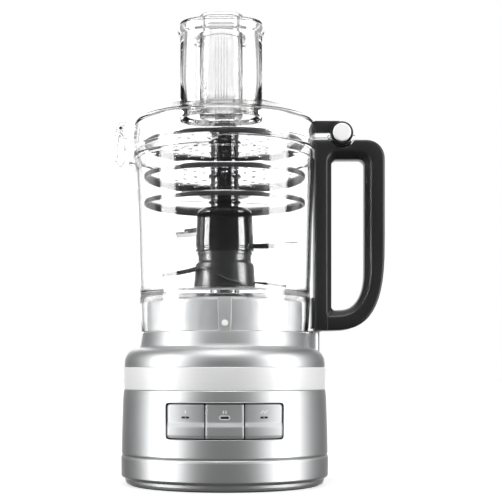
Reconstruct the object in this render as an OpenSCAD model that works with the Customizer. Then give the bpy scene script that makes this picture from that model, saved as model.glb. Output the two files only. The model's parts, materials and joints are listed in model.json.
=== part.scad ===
// Food processor: silver base with a geared motor, clear bowl, hinged lid with a feed chute, tools.
// The origin is on the floor under the bowl's axis. +X points to the handle, -Y to the keys, +Z up.

/* [Base] */
// Outer radius of the lower housing
skirt_r = 92.6; // [92:0.1:94]
// Height of the top of the main housing, where the trim band starts
band_z = 84.8; // [84.8:0.1:86]
// Height of the trim band
band_h = 19.4; // [18:0.1:20]
// Height of the ledge that the bowl stands on
ledge_z = 135; // [134.5:0.1:135]

/* [Keys] */
// Width of one key
key_w = 31.6; // [30:0.1:32]
// Gap between two keys
key_gap = 1.1; // [0.8:0.1:1.6]
// Height of the lower edge of the keys
key_z0 = 44.6; // [44:0.1:46]
// Height of the upper edge of the keys
key_z1 = 73.6; // [72:0.1:74]
// Gap between the keys and the housing
key_rim = 0.9; // [0.6:0.1:1.2]

/* [Bowl] */
// Height of the top of the bowl's floor
bowl_floor_z = 169; // [168.5:0.1:169.5]
// Height of the bowl's rim
rim_z = 297.5; // [296:0.1:297.6]
// Width of the handle across the bowl
handle_w = 28; // [24:1:29]

/* [Lid] */
// Outer radius of the lid
lid_r = 82; // [81.8:0.1:82.2]
// Wall thickness of the lid
lid_wall = 2.2; // [2:0.1:2.4]
// Height of the middle of the dome
dome_z = 346.5; // [345.5:0.5:347]
// Height of the top of the feed chute
chute_z = 397.4; // [396:0.2:399]
// Half width of the feed chute
chute_hw = 35.4; // [35:0.1:35.6]
// Half depth of the feed chute
chute_hd = 27.5; // [27:0.1:27.6]

/* [Tools] */
// Radius of the three discs
disc_r = 72.2; // [70:0.1:72.4]
// Height of the top of the lowest disc
disc_low_z = 253.4; // [252.4:0.2:254.4]
// Height of the top of the middle disc
disc_mid_z = 277.2; // [276:0.2:278]
// Height of the top of the highest disc
disc_top_z = 306.4; // [305:0.2:306.6]

/* [Drive] */
// Teeth on the output gear
gear_teeth = 60; // [60]
// Teeth on the motor pinion
pinion_teeth = 12; // [12]
// Module of the gear pair
gear_module = 1.25; // [1.25]
// Radius of the motor's stator
stator_r = 35; // [34:0.5:35]

/* [Hidden] */
$fn = 72;

silver = [0.72, 0.73, 0.74];
steel = [0.8, 0.8, 0.82];
dark = [0.08, 0.08, 0.09];
clear = [0.86, 0.92, 0.95, 0.4];
copper = [0.75, 0.42, 0.2];

foot_h = 2.5;
cover_top = 5.5;
cover_r = 85;
groove_z = 26.6;
band_r = 90.1;
band_top = band_z + band_h;
spigot_r = 87;
spigot_in = 84.4;
deck_z = 163;
deck_t = 3;
deck_r = 69.5;
boss_r = 24;
boss_z = 164.5;

key_total = 3 * key_w + 2 * key_gap;
key_pitch = key_w + key_gap;
key_x = [-key_pitch, 0, key_pitch];
key_z = (key_z0 + key_z1) / 2;
key_h = key_z1 - key_z0;
key_face_r = 91.3;
key_back_r = 88.3;
ridge_r = 92.3;
ridge_z0 = 54.2;
ridge_z1 = 58;
lamp_z = 62.4;
stem_z = 60;

motor_x = -gear_module * (gear_teeth + pinion_teeth) / 2;
motor_shaft_r = 4;
stator_z0 = 40;
stator_z1 = 68;
gear_z0 = 93;
gear_z1 = 101;
pitch_r = gear_module * gear_teeth / 2;
pinion_pitch_r = gear_module * pinion_teeth / 2;
pressure = 20;
backlash = 0.26;
gear_tip_r = pitch_r + 0.9;
pinion_tip_r = pinion_pitch_r + 1.1;
root_depth = 1.5;
shaft_r = 6;
shaft_hex_r = 7;
shaft_top = 213;
plate_z = 86;
plate_t = 3;
bearing_r = 14;
bearing_z = 87;
bearing_top = 91.5;

tube_r = 11.5;
tube_in = 9;
tube_top = 190;
lid_in = lid_r - lid_wall;
hinge_x = 104;
hinge_z = 312.7;
knuckle_r = 10.3;
knuckle_w = 12;
ring_r = 12.3;
recess_r = 12.9;
pin_r = 4;
cap_r = 8;
pin_reach = 15.6;
cap_t = 3;
handle_x0 = 80;
handle_x1 = 142.6;
handle_z0 = 137;
handle_z1 = 307;
handle_r = 17;
tongue_z0 = 307.6;
tongue_z1 = 312.6;
arm_z1 = 323.6;
rod_x = 85.2;
rod_r = 1.3;
foot_x = 78;

adapter_r = 15.5;
adapter_top = 238.6;
chute_x = -3;
chute_y = -42.5;
chute_corner = 24;
chute_bottom = 318;
latch_x = -92.6;
latch_z = 317.5;

// Points along an arc in a plane, from angle a0 to a1.
function arc(x, y, r, a0, a1, n = 8) = [
  for (i = [0 : n]) let (a = a0 + (a1 - a0) * i / n) [x + r * cos(a), y + r * sin(a)]
];

// Points along a superellipse quarter, for a corner rounder than a circle.
function corner(x, y, a, b, power, a0, a1, n = 12) = [
  for (i = [0 : n]) let (
    t = a0 + (a1 - a0) * i / n,
    c = cos(t),
    s = sin(t)
  ) [
    x + a * sign(c) * pow(abs(c), 2 / power),
    y + b * sign(s) * pow(abs(s), 2 / power)
  ]
];

// A ring of rectangular section about the Z axis.
module ring(r_out, r_in, z0, z1) {
  rotate_extrude($fn = 96)
    translate([r_in, z0]) square([r_out - r_in, z1 - z0]);
}

module rod(r, z0, z1) {
  translate([0, 0, z0]) cylinder(r = r, h = z1 - z0);
}

// A cylinder about an axis along Y.
module rod_y(r, x, z, y0, y1) {
  translate([x, y0, z]) rotate([-90, 0, 0]) cylinder(r = r, h = y1 - y0);
}

module box(x0, x1, y0, y1, z0, z1) {
  translate([x0, y0, z0]) cube([x1 - x0, y1 - y0, z1 - z0]);
}

// A rectangle with round corners, drawn from two squares and four circles so that its arcs are true.
module round_rect(hw, hd, r) {
  square([2 * hw - 2 * r, 2 * hd], center = true);
  square([2 * hw, 2 * hd - 2 * r], center = true);
  for (x = [-1, 1], y = [-1, 1])
    translate([x * (hw - r), y * (hd - r)]) circle(r = r);
}

// ---------------------------------------------------------------- gears

function involute(a) = tan(a) * 180 / PI - a;

// Half of a tooth's angle at radius r, for a gear of the given pitch radius.
function tooth_half(r, rp) = let (
  base = rp * cos(pressure),
  thick = gear_module * PI / 2 - backlash,
  at_pitch = thick / 2 / rp * 180 / PI,
  alpha = r > base ? acos(base / r) : 0
) at_pitch + involute(pressure) - involute(alpha);

// Outline of a whole gear: each tooth goes up one flank and down the other.
function gear_points(teeth, rp, root, tip) = let (
  radii = [root, max(root + 0.3, rp - 0.7), rp, (rp + tip) / 2, tip]
) [
  for (i = [0 : teeth - 1], side = [-1, 1], k = [0 : 4]) let (
    r = radii[side < 0 ? k : 4 - k],
    a = 360 / teeth * i + side * tooth_half(r, rp)
  ) [r * cos(a), r * sin(a)]
];

module gear_shape() {
  polygon(gear_points(gear_teeth, pitch_r, pitch_r - root_depth, gear_tip_r));
}

// Turned by half a tooth, so that it meshes with the gear.
module pinion_shape() {
  rotate(180 / pinion_teeth)
    polygon(gear_points(pinion_teeth, pinion_pitch_r, pinion_pitch_r - root_depth, pinion_tip_r));
}

// ---------------------------------------------------------------- base

module foot_ring() {
  color(dark) ring(86, 76, 0, foot_h);
}

screw_angles = [40, 140, 220, 320];
screw_at = 70;

module at_screws() {
  for (a = screw_angles)
    rotate(a) translate([screw_at, 0, 0]) children();
}

module bottom_cover() {
  color(dark) difference() {
    rod(cover_r, foot_h, cover_top);
    at_screws() rod(1.8, 0, 10);
    for (i = [-5 : 5])
      translate([motor_x + 4 + i * 5, 0, 0]) box(-1.2, 1.2, -22, 22, 0, 10);
  }
}

module bottom_screws() {
  color(steel) at_screws() {
    rod(1.5, foot_h, 18);
    rod(3.2, foot_h - 1.5, foot_h);
  }
}

module lower_profile() {
  polygon([
    [cover_r + 0.2, foot_h],
    [87.5, foot_h],
    [88.6, cover_top],
    [89.6, 6.6],
    [91.8, 7.2],
    [skirt_r, 8.4],
    [skirt_r + 0.2, 23.8],
    [skirt_r - 0.4, 25.4],
    [90.9, groove_z],
    [spigot_r, groove_z],
    [spigot_r, groove_z - 3],
    [89.4, groove_z - 3.4],
    [89.4, 9],
    [cover_r + 0.2, 6.6]
  ]);
}

module lower_housing() {
  color(silver) difference() {
    union() {
      rotate_extrude($fn = 120) lower_profile();
      at_screws() {
        rod(4.2, cover_top, 20);
        box(0, 19, -1.2, 1.2, cover_top, 20);
      }
    }
    at_screws() rod(1.5, 0, 18);
    rod_y(6, 0, 17, 60, 110);
  }
}

module main_profile() {
  polygon([
    [spigot_r, groove_z],
    [90.9, groove_z],
    [91.6, 27.4],
    [92.3, 28.8],
    [91.4, 56],
    [90.6, 82.6],
    [90.1, 84],
    [90.1, band_z],
    [spigot_r, band_z],
    [spigot_r, band_top],
    [spigot_in, band_top],
    [spigot_in, plate_z],
    [81, plate_z],
    [81, plate_z - 2.5],
    [87.2, plate_z - 6],
    [89.2, 30],
    [88, 29.2]
  ]);
}

module main_housing() {
  open_hw = key_total / 2 + key_rim;
  color(silver) difference() {
    rotate_extrude($fn = 120) main_profile();
    translate([0, -80, key_z]) rotate([90, 0, 0])
      linear_extrude(20) round_rect(open_hw, key_h / 2 + key_rim, 3.5);
    box(-open_hw, open_hw, -81, -70, key_z0 - key_rim, key_z1 + key_rim);
  }
}

module trim_band() {
  color([0.85, 0.86, 0.87]) ring(band_r, spigot_r, band_z, band_top);
}

// Outline of the shoulder and neck, from the trim band up to the bowl's ledge.
function shoulder_points() = concat(
  [[89.7, band_top]],
  corner(75.8, band_top + 1.6, 13.9, 15.2, 2.4, 0, 78, 10),
  [[76.3, 121.2], [75.5, 122], [75.2, 124.4], [73.5, ledge_z]]
);

module top_housing() {
  color(silver) difference() {
    rotate_extrude($fn = 120)
      polygon(concat(
        [[spigot_in, band_top]],
        shoulder_points(),
        [
          [deck_r, ledge_z],
          [deck_r, deck_z],
          [boss_r, deck_z],
          [boss_r - 1, boss_z],
          [10, boss_z],
          [10, 137],
          [14, 137],
          [14, deck_z - deck_t],
          [deck_r - deck_t, deck_z - deck_t],
          [deck_r - deck_t, ledge_z - 3],
          [72, 119],
          [78, 117],
          [spigot_in, 110]
        ]
      ));
    box(foot_x - 2.2, foot_x + 2.2, -2.2, 2.2, 100, 125);
  }
}

module button_bezel() {
  hw = key_total / 2 + 5;
  color(dark) difference() {
    intersection() {
      ring(85.5, 83.3, 37, 81);
      box(-hw, hw, -100, -60, 37, 81);
    }
    for (x = key_x) box(x - 4, x + 4, -100, -60, stem_z - 4, stem_z + 4);
  }
}

module cord_gland() {
  color(dark) difference() {
    union() {
      rod_y(6, 0, 17, 86, 96);
      rod_y(8.5, 0, 17, 92.9, 94.5);
      rod_y(7.5, 0, 17, 84, 86);
    }
    rod_y(3.6, 0, 17, 80, 100);
  }
}

module interlock_tower() {
  color(silver) difference() {
    box(71.6, 84.9, -10, 10, 108, ledge_z + 0.9);
    rotate_extrude($fn = 120)
      polygon(concat([[0, 90], [89.7, 90]], shoulder_points(), [[0, ledge_z]]));
    ring(75.4, 0, 100, 140);
    box(foot_x - 2.4, foot_x + 4.6, -5, 5, 100, 129.6);
    translate([foot_x, 0, 0]) rod(2.3, 120, 140);
  }
}

module safety_switch() {
  color(dark) {
    box(foot_x - 2.1, foot_x + 4.3, -4.7, 4.7, 122.6, 129.3);
    translate([foot_x, 0, 0]) rod(1.2, 129.3, 130.4);
  }
}

module control_board() {
  color([0.1, 0.35, 0.18]) box(-50, 50, -64.2, -62.6, 36, 80);
}

module tact_switches() {
  color(dark) for (x = key_x) {
    box(x - 3, x + 3, -66, -64.2, stem_z - 3, stem_z + 3);
    rod_y(1.4, x, stem_z, -66.6, -66);
  }
}

module gearbox_plate() {
  color(silver) difference() {
    union() {
      rod(84.1, plate_z, plate_z + plate_t);
      rod(bearing_r + 3, plate_z, bearing_top + 0.4);
    }
    rod(bearing_r, bearing_z, 100);
    rod(shaft_r + 3, plate_z - 10, 100);
    translate([motor_x, 0, 0]) rod(10, 80, 100);
  }
}

module bearing(r_in, r_out, z0, z1) {
  color(steel) ring(r_out, r_in, z0, z1);
}

module lower_bearing() {
  bearing(shaft_r + 0.05, bearing_r, bearing_z, bearing_top);
}

module upper_bearing() {
  bearing(shaft_r + 0.05, 10, 139, 149);
}

module shaft_seal() {
  color(dark) ring(boss_r - 2, shaft_r + 1.4, boss_z, boss_z + 1.2);
}

// ---------------------------------------------------------------- motor

module at_motor() {
  translate([motor_x, 0, 0]) children();
}

module slot_shape(r0, r1, half) {
  polygon(concat(arc(0, 0, r1, 90 - half, 90 + half, 10), arc(0, 0, r0, 90 + half, 90 - half, 10)));
}

module motor_stator() {
  color([0.45, 0.45, 0.47]) at_motor() translate([0, 0, stator_z0])
    linear_extrude(stator_z1 - stator_z0) difference() {
      circle(r = stator_r);
      circle(r = 20);
      for (a = [0, 180]) rotate(a) slot_shape(18, 29.5, 42);
      for (x = [-31, 31]) translate([x, 0]) circle(r = 1.8);
    }
}

module field_windings() {
  color(copper) at_motor() for (a = [0, 180]) rotate(a)
    translate([0, 0, stator_z0 - 5]) linear_extrude(stator_z1 - stator_z0 + 10)
      slot_shape(20.8, 29.2, 40);
}

module end_bell(z0, z1, cap_z0, cap_z1) {
  color([0.6, 0.6, 0.62]) at_motor() difference() {
    union() {
      ring(34.5, 31.2, z0, z1);
      ring(34.5, motor_shaft_r + 4, cap_z0, cap_z1);
      for (x = [-31, 31]) translate([x, 0, 0]) rod(3.2, z0, z1);
    }
    for (x = [-31, 31]) translate([x, 0, 0]) rod(1.8, 0, 100);
    for (a = [0, 90, 180, 270]) rotate(a + 45)
      box(14, 26, -6, 6, cap_z0 - 1, cap_z1 + 1);
    if (z0 < stator_z0)
      for (s = [-1, 1]) box(-4.2, 4.2, min(s * 9, s * 40), max(s * 9, s * 40), 27.8, 34.2);
  }
  color(steel) at_motor() ring(motor_shaft_r + 4, motor_shaft_r + 0.05, cap_z0, cap_z1);
}

module upper_end_bell() {
  end_bell(stator_z1, 84, 80, 84);
}

module lower_end_bell() {
  end_bell(22, stator_z0, 22, 26);
}

module motor_screws() {
  color(steel) at_motor() for (x = [-31, 31]) translate([x, 0, 0]) {
    rod(1.5, 22, 84);
    rod(2.8, 20, 22);
  }
}

module carbon_brushes() {
  color([0.2, 0.2, 0.22]) at_motor() for (s = [-1, 1])
    box(-4, 4, min(s * 11.4, s * 33), max(s * 11.4, s * 33), 28, 34);
}

module rotor_core() {
  color([0.5, 0.5, 0.52]) at_motor() translate([0, 0, stator_z0 + 1])
    linear_extrude(stator_z1 - stator_z0 - 2) difference() {
      circle(r = 19.3);
      circle(r = motor_shaft_r);
      for (i = [0 : 11]) rotate(30 * i) translate([14.5, -1]) square([6, 2]);
    }
}

module rotor_shaft() {
  color(steel) at_motor() rod(motor_shaft_r, 10, 103);
}

module commutator() {
  color(copper) at_motor() translate([0, 0, 27]) linear_extrude(9) difference() {
    circle(r = 11);
    circle(r = motor_shaft_r);
    for (i = [0 : 11]) rotate(30 * i) translate([10, -0.25]) square([2, 0.5]);
  }
}

module cooling_fan() {
  color(dark) at_motor() {
    ring(10, motor_shaft_r, 10.5, 19.5);
    for (i = [0 : 7]) rotate(45 * i) box(8, 27, -0.8, 0.8, 11.5, 18.5);
  }
}

module motor_pinion() {
  color([0.75, 0.65, 0.4]) at_motor() translate([0, 0, gear_z0 - 1])
    linear_extrude(gear_z1 - gear_z0 + 2) difference() {
      pinion_shape();
      circle(r = motor_shaft_r);
    }
}

module output_gear() {
  color([0.9, 0.9, 0.86]) translate([0, 0, gear_z0]) difference() {
    union() {
      linear_extrude(gear_z1 - gear_z0) gear_shape();
      rod(12, 0, gear_z1 - gear_z0 + 5);
    }
    rod(shaft_r, -1, 30);
    for (i = [0 : 5]) rotate(60 * i) translate([23, 0, 0]) rod(6, -1, 30);
  }
}

module drive_shaft() {
  color(steel) {
    rod(shaft_r, bearing_z - 0.5, boss_z + 2);
    translate([0, 0, boss_z + 2]) cylinder(r = shaft_hex_r, h = shaft_top - boss_z - 2, $fn = 6);
  }
}

// ---------------------------------------------------------------- keys

// The front of a key follows the round front of the housing.
module key(i) {
  x = key_x[i];
  color([0.76, 0.77, 0.78]) difference() {
    union() {
      intersection() {
        union() {
          ring(key_face_r, key_back_r, key_z0, key_z1);
          ring(ridge_r, key_back_r, ridge_z0, ridge_z1);
        }
        box(x - key_w / 2, x + key_w / 2, -100, -50, key_z0, key_z1);
      }
      difference() {
        box(x - 3, x + 3, -90, -68.9, stem_z - 3, stem_z + 3);
        ring(140, key_back_r + 0.5, 0, 100);
      }
    }
    box(x - 3.8, x + 3.8, -100, -89.4 + abs(x) * 0.22, lamp_z - 1, lamp_z + 1);
  }
}

module lamp(i) {
  x = key_x[i];
  color([0.95, 0.95, 0.9]) intersection() {
    difference() {
      translate([0, 0, lamp_z - 1]) cylinder(r = key_face_r - 0.3, h = 2, $fn = 360);
      box(-60, 60, -70, 100, 50, 80);
    }
    box(x - 3.8, x + 3.8, -100, -89.4 + abs(x) * 0.22, lamp_z - 1, lamp_z + 1);
  }
}

module low_key() { key(0); }
module high_key() { key(1); }
module pulse_key() { key(2); }
module low_lamp() { lamp(0); }
module high_lamp() { lamp(1); }
module pulse_lamp() { lamp(2); }

// ---------------------------------------------------------------- bowl

function bowl_outer() = [
  [75, ledge_z + 0.3],
  [75.7, 142],
  [76.7, 160],
  [76.8, 164],
  [76.5, 168],
  [76.7, 175],
  [77.4, 192],
  [78.3, 228],
  [79.2, 251],
  [80, 264],
  [80.6, 277],
  [81, 286],
  [81, 289],
  [79.3, 290.6],
  [79.3, rim_z]
];

function bowl_inner() = [
  [76.9, rim_z],
  [77.4, 288],
  [77.4, 278],
  [76.8, 264],
  [75.4, 228],
  [74.6, 192],
  [74, 176],
  [73.4, bowl_floor_z + 2],
  [71.4, bowl_floor_z]
];

module work_bowl() {
  color(clear) union() {
    rotate_extrude($fn = 144)
      polygon(concat(
        bowl_outer(),
        bowl_inner(),
        [
          [tube_r, bowl_floor_z],
          [tube_r, tube_top],
          [tube_in, tube_top],
          [tube_in, bowl_floor_z - 2.4],
          [71.6, bowl_floor_z - 2.4],
          [74, 161],
          [72.2, ledge_z + 0.3]
        ]
      ));
    difference() {
      box(74, handle_x0, -9, 9, 141.6, 291);
      rotate_extrude($fn = 144)
        polygon(concat([[0, 136]], [for (p = bowl_outer()) if (p[1] < 295) [p[0] - 0.8, p[1]]], [[0, 294]]));
    }
    // catch for the latch's hook
    difference() {
      box(-85.4, -78, -8, 8, 285, 288.6);
      ring(79, 0, 200, 300);
    }
  }
}

// Outline of the handle in the XZ plane, with the big round lower corner.
module handle_outline() {
  polygon(concat(
    [[handle_x0, handle_z0]],
    corner(92, 222, handle_x1 - 92, 222 - handle_z0, 3, -90, 0, 18),
    arc(handle_x1 - handle_r, handle_z1 - handle_r, handle_r, 0, 90, 8),
    [[handle_x0, handle_z1]]
  ));
}

module handle_gap() {
  polygon(concat(
    [[97, 155.5], [103, 155.5], [110.2, 157], [115.6, 160.5], [118.2, 164], [119.9, 167.7], [121.6, 173]],
    [[123.4, 182], [124, 209]],
    arc(119.8, 284.9, 5.5, 0, 90, 5),
    arc(97.5, 288.4, 2, 90, 180, 3),
    [[95.5, 157]]
  ));
}

module handle() {
  color(dark) difference() {
    union() {
      translate([0, handle_w / 2, 0]) rotate([90, 0, 0])
        linear_extrude(handle_w) difference() {
          handle_outline();
          handle_gap();
        }
      // middle knuckle of the lid's hinge
      rod_y(knuckle_r, hinge_x, hinge_z, -knuckle_w / 2, knuckle_w / 2);
    }
    for (s = [-1, 1])
      rod_y(recess_r, hinge_x, hinge_z, s > 0 ? knuckle_w / 2 : -30, s > 0 ? 30 : -knuckle_w / 2);
    rod_y(pin_r, hinge_x, hinge_z, -30, 30);
    translate([rod_x, 0, 0]) rod(1.7, 100, 320);
    box(70, rod_x + 2, -3.5, 3.5, 130, 141);
    // the lid's skirt stands in front of the spine's top, and the bowl's shoulder below it
    rod(lid_r + 0.6, 296, 320);
    rotate_extrude($fn = 144)
      polygon(concat([[0, 136]], [for (p = bowl_outer()) if (p[1] < 295) [p[0] + 0.05, p[1]]], [[0, 292]]));
    translate([rod_x, 0, 0]) rod(3.2, 290, 320);
    for (z = [160, 275]) translate([handle_x0 - 1, 0, z]) rotate([0, 90, 0])
      translate([0, 7, 0]) cylinder(r = 1.6, h = 9);
  }
}

module handle_screws() {
  color(steel) for (z = [160, 275]) translate([handle_x0 + 1.4, 7, z]) rotate([0, 90, 0])
    cylinder(r = 1.6, h = 6);
}

module hinge_pin() {
  color([0.9, 0.9, 0.92]) {
    rod_y(pin_r, hinge_x, hinge_z, -pin_reach, pin_reach);
    rod_y(cap_r, hinge_x, hinge_z, -pin_reach - cap_t, -pin_reach);
    rod_y(cap_r, hinge_x, hinge_z, pin_reach, pin_reach + cap_t);
  }
}

module interlock_spring() {
  color(steel) translate([rod_x, 0, 0]) ring(2.8, 2, 290, 301);
}

module interlock_rod() {
  color([0.85, 0.85, 0.82]) {
    translate([rod_x, 0, 0]) {
      rod(rod_r, 136.9, 306.9);
      rod(2.9, 301, 302.4);
    }
    box(foot_x - 2.4, rod_x + 1.3, -3, 3, 136.3, 137.2);
    translate([foot_x, 0, 0]) rod(1.9, 130.8, 136.5);
  }
}

// ---------------------------------------------------------------- lid

function dome(r) = dome_z - 0.0034 * r * r;
dome_radii = [75, 65, 52, 38, 24, 12, 0];

module lid_shell(skirt_z) {
  t = lid_wall;
  rotate_extrude($fn = 144)
    polygon(concat(
      [[lid_in, skirt_z], [lid_r, skirt_z], [lid_r, 304], [lid_r - 0.4, 316]],
      arc(lid_r - 6.6, 319.6, 6, 8, 80, 6),
      [for (r = dome_radii) [r, dome(r)]],
      [for (i = [len(dome_radii) - 1 : -1 : 0]) [dome_radii[i], dome(dome_radii[i]) - t]],
      arc(lid_r - 7.2, 318.4, 4.4, 70, 0, 5)
    ));
}

module chute_shape(grow) {
  translate([chute_x, chute_y]) round_rect(chute_hw + grow, chute_hd + grow, chute_corner + grow);
}

module lid() {
  color(clear) difference() {
    union() {
      difference() {
        lid_shell(291.6);
        box(-8, 90, -90, 90, 280, 298);
      }
      // socket for the top of the disc stem
      ring(14.4, 12.4, 326, 343);
      // tongue that carries the hinge arm
      difference() {
        box(77, hinge_x - 6, -14, 14, tongue_z0, tongue_z1);
        ring(lid_in + 0.6, 0, 300, 330);
        rod_y(knuckle_r, hinge_x, hinge_z, -20, 20);
      }
      difference() {
        rod_y(ring_r, hinge_x, hinge_z, -14.6, 14.6);
        rod_y(knuckle_r, hinge_x, hinge_z, -20, 20);
        box(80, 130, -20, 20, hinge_z - 2.2, 340);
      }
      // ears for the latch
      for (s = [-1, 1]) difference() {
        box(-88.8, -78, s * 9.5 - 1.5, s * 9.5 + 1.5, 309, 322.4);
        ring(lid_in + 0.6, 0, 300, 330);
      }
      for (s = [-1, 1])
        rod_y(4.5, latch_x, latch_z, s * 9.5 - 1.5, s * 9.5 + 1.5);
    }
    translate([0, 0, chute_bottom - 1]) linear_extrude(chute_z) chute_shape(0);
    // room for the middle knuckle of the handle
    rod_y(ring_r + 3, hinge_x, hinge_z, -knuckle_w / 2 - 0.3, knuckle_w / 2 + 0.3);
    rod_y(1.5, latch_x, latch_z, -20, 20);
  }
}

// Rounded tube through the dome, moulded in one piece with it.
module feed_chute() {
  color(clear) difference() {
    union() {
      translate([0, 0, chute_bottom]) linear_extrude(chute_z - chute_bottom) chute_shape(0);
      translate([0, 0, chute_z - 7.6]) linear_extrude(7.6) chute_shape(2);
    }
    translate([0, 0, chute_bottom - 1]) linear_extrude(chute_z) chute_shape(-2.4);
  }
}

module lid_hinge_arm() {
  color(dark) difference() {
    union() {
      rod_y(knuckle_r, hinge_x, hinge_z, -14.6, 14.6);
      box(78, hinge_x, -13, 13, tongue_z1, arm_z1);
    }
    rotate_extrude($fn = 144)
      polygon(concat(
        [[0, 300], [lid_r, 300], [lid_r, 304], [lid_r - 0.4, 316]],
        arc(lid_r - 6.6, 319.6, 6, 8, 80, 6),
        [[70, 328.5], [0, 328.5]]
      ));
    rod_y(pin_r + 0.06, hinge_x, hinge_z, -30, 30);
    rod_y(knuckle_r + 0.5, hinge_x, hinge_z, -knuckle_w / 2 - 0.3, knuckle_w / 2 + 0.3);
  }
}

module lid_latch() {
  color(clear) difference() {
    union() {
      box(-98, -95.2, -7.6, 7.6, 283, 321.5);
      box(-96, -89.4, -7.6, 7.6, 312.6, 321.5);
      box(-97, -86, -7.6, 7.6, 281.6, 284.2);
    }
    rod_y(1.5, latch_x, latch_z, -20, 20);
  }
}

module latch_pin() {
  color(steel) rod_y(1.44, latch_x, latch_z, -11, 11);
}

// ---------------------------------------------------------------- pushers

pusher_hw = chute_hw - 3;
pusher_hd = chute_hd - 3;
pusher_z0 = 320.4;
small_hw = 16;
small_hd = 12;

module pusher_shape(grow) {
  translate([chute_x, chute_y]) round_rect(pusher_hw + grow, pusher_hd + grow, chute_corner - 3 + grow);
}

module small_shape(grow) {
  translate([chute_x, chute_y]) round_rect(small_hw + grow, small_hd + grow, 9 + grow);
}

// Clear cup with a tube through it for the small pusher.
module large_pusher() {
  color(clear) difference() {
    union() {
      translate([0, 0, pusher_z0]) linear_extrude(chute_z - pusher_z0 - 4) pusher_shape(0);
      translate([0, 0, chute_z + 0.3]) linear_extrude(2) pusher_shape(3.4);
      translate([0, 0, chute_z - 5]) linear_extrude(6) pusher_shape(0);
    }
    difference() {
      translate([0, 0, pusher_z0 + 2.4]) linear_extrude(chute_z) pusher_shape(-2.2);
      translate([0, 0, pusher_z0]) linear_extrude(chute_z - pusher_z0 - 6) small_shape(2.6);
    }
    translate([0, 0, pusher_z0 - 1]) linear_extrude(chute_z) small_shape(0.5);
  }
}

module small_pusher() {
  color(clear) union() {
    difference() {
      translate([0, 0, pusher_z0]) linear_extrude(chute_z + 7 - pusher_z0) small_shape(0);
      translate([0, 0, pusher_z0 + 2.2]) linear_extrude(chute_z) small_shape(-2);
    }
    translate([0, 0, chute_z + 7]) linear_extrude(2.4) small_shape(2.8);
    translate([0, 0, chute_z + 9.4]) linear_extrude(1.6) small_shape(0.4);
  }
}

// ---------------------------------------------------------------- tools

module drive_adapter() {
  color(dark) difference() {
    rod(adapter_r, 170.6, adapter_top);
    rod(tube_r + 0.6, 170, tube_top + 1.2);
    translate([0, 0, 180]) cylinder(r = shaft_hex_r + 0.35, h = shaft_top - 179, $fn = 6);
  }
}

// The arms of the dough blade are bars that bend round the hub.
module dough_blade() {
  color([0.25, 0.25, 0.27]) difference() {
    union() {
      rotate_extrude($fn = 96) polygon([
        [adapter_r, 170.6],
        [28, 170.6],
        [28, 176],
        [26, 190],
        [23.8, 202],
        [23.6, 208],
        [adapter_r, 208]
      ]);
      difference() {
        union() {
          translate([0, 0, 182]) linear_extrude(6) polygon(concat(
            arc(-18, -26, 42, 100, 168, 8), arc(-20, -22, 34, 160, 96, 8)
          ));
          translate([0, 0, 172]) linear_extrude(6) polygon(concat(
            arc(18, 26, 42, -80, -12, 8), arc(20, 22, 34, -20, -84, 8)
          ));
        }
        rod(20, 160, 210);
      }
    }
    rod(adapter_r, 160, 260);
  }
}

module chopping_hub() {
  color(dark) rotate_extrude($fn = 96) polygon([
    [adapter_r, 208],
    [26.6, 208],
    [26.6, 211],
    [25.6, 212],
    [25.6, 240],
    [23.4, 244],
    [19.5, 246],
    [adapter_r, 247]
  ]);
}

// A crescent between two arcs, from inside the hub to the tip.
module blade_shape() {
  polygon(concat(arc(32, 42, 52, -98, -48, 12), arc(32, 52, 50, -56, -98, 12)));
}

// Two curved steel blades at different heights, held by the hub.
module chopping_blades() {
  color(steel) difference() {
    union() {
      translate([0, 0, 214]) linear_extrude(1.6) blade_shape();
      translate([0, 0, 225]) rotate(142) linear_extrude(1.6) blade_shape();
    }
    rod(25.6, 200, 240);
  }
}

module disc_stem() {
  color(dark) {
    rod(8.6, adapter_top, 330);
    translate([0, 0, 330]) cylinder(r1 = 8.6, r2 = 5, h = 7);
  }
}

disc_t = 1;
rim_h = 3.7;

// Steel plate with rings of holes, which differ from disc to disc.
module disc_plate(z, hole_r, rings, slots) {
  color(steel) translate([0, 0, z - disc_t]) linear_extrude(disc_t) difference() {
    circle(r = disc_r - 0.7);
    circle(r = 8.6);
    for (k = rings, i = [0 : k[1] - 1])
      rotate(360 / k[1] * i) translate([k[0], 0]) circle(r = hole_r);
    for (i = [0 : slots - 1])
      rotate(360 / slots * i + 15) translate([22, -2.2]) square([42, 4.4]);
  }
}

module disc_rim(z) {
  color(dark) difference() {
    union() {
      ring(disc_r, 67.5, z - disc_t - rim_h, z - disc_t);
      ring(disc_r, disc_r - 0.7, z - disc_t, z - 0.2);
      ring(12.2, 8.6, z - 9, z - disc_t);
      ring(14, 8.6, z - 12, z - 8.6);
      for (a = [0, 120, 240]) rotate(a) box(11, 68, -1.5, 1.5, z - disc_t - 2.6, z - disc_t);
    }
    rod(8.6, 200, 340);
  }
}

module disc_plate_top() { disc_plate(disc_top_z, 1.6, [[30, 14], [40, 18], [50, 24], [60, 30]], 0); }
module disc_plate_mid() { disc_plate(disc_mid_z, 2.4, [[28, 10], [38, 14], [48, 18], [58, 22]], 0); }
module disc_plate_low() { disc_plate(disc_low_z, 1, [], 2); }
module disc_rim_top() { disc_rim(disc_top_z); }
module disc_rim_mid() { disc_rim(disc_mid_z); }
module disc_rim_low() { disc_rim(disc_low_z); }

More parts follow.
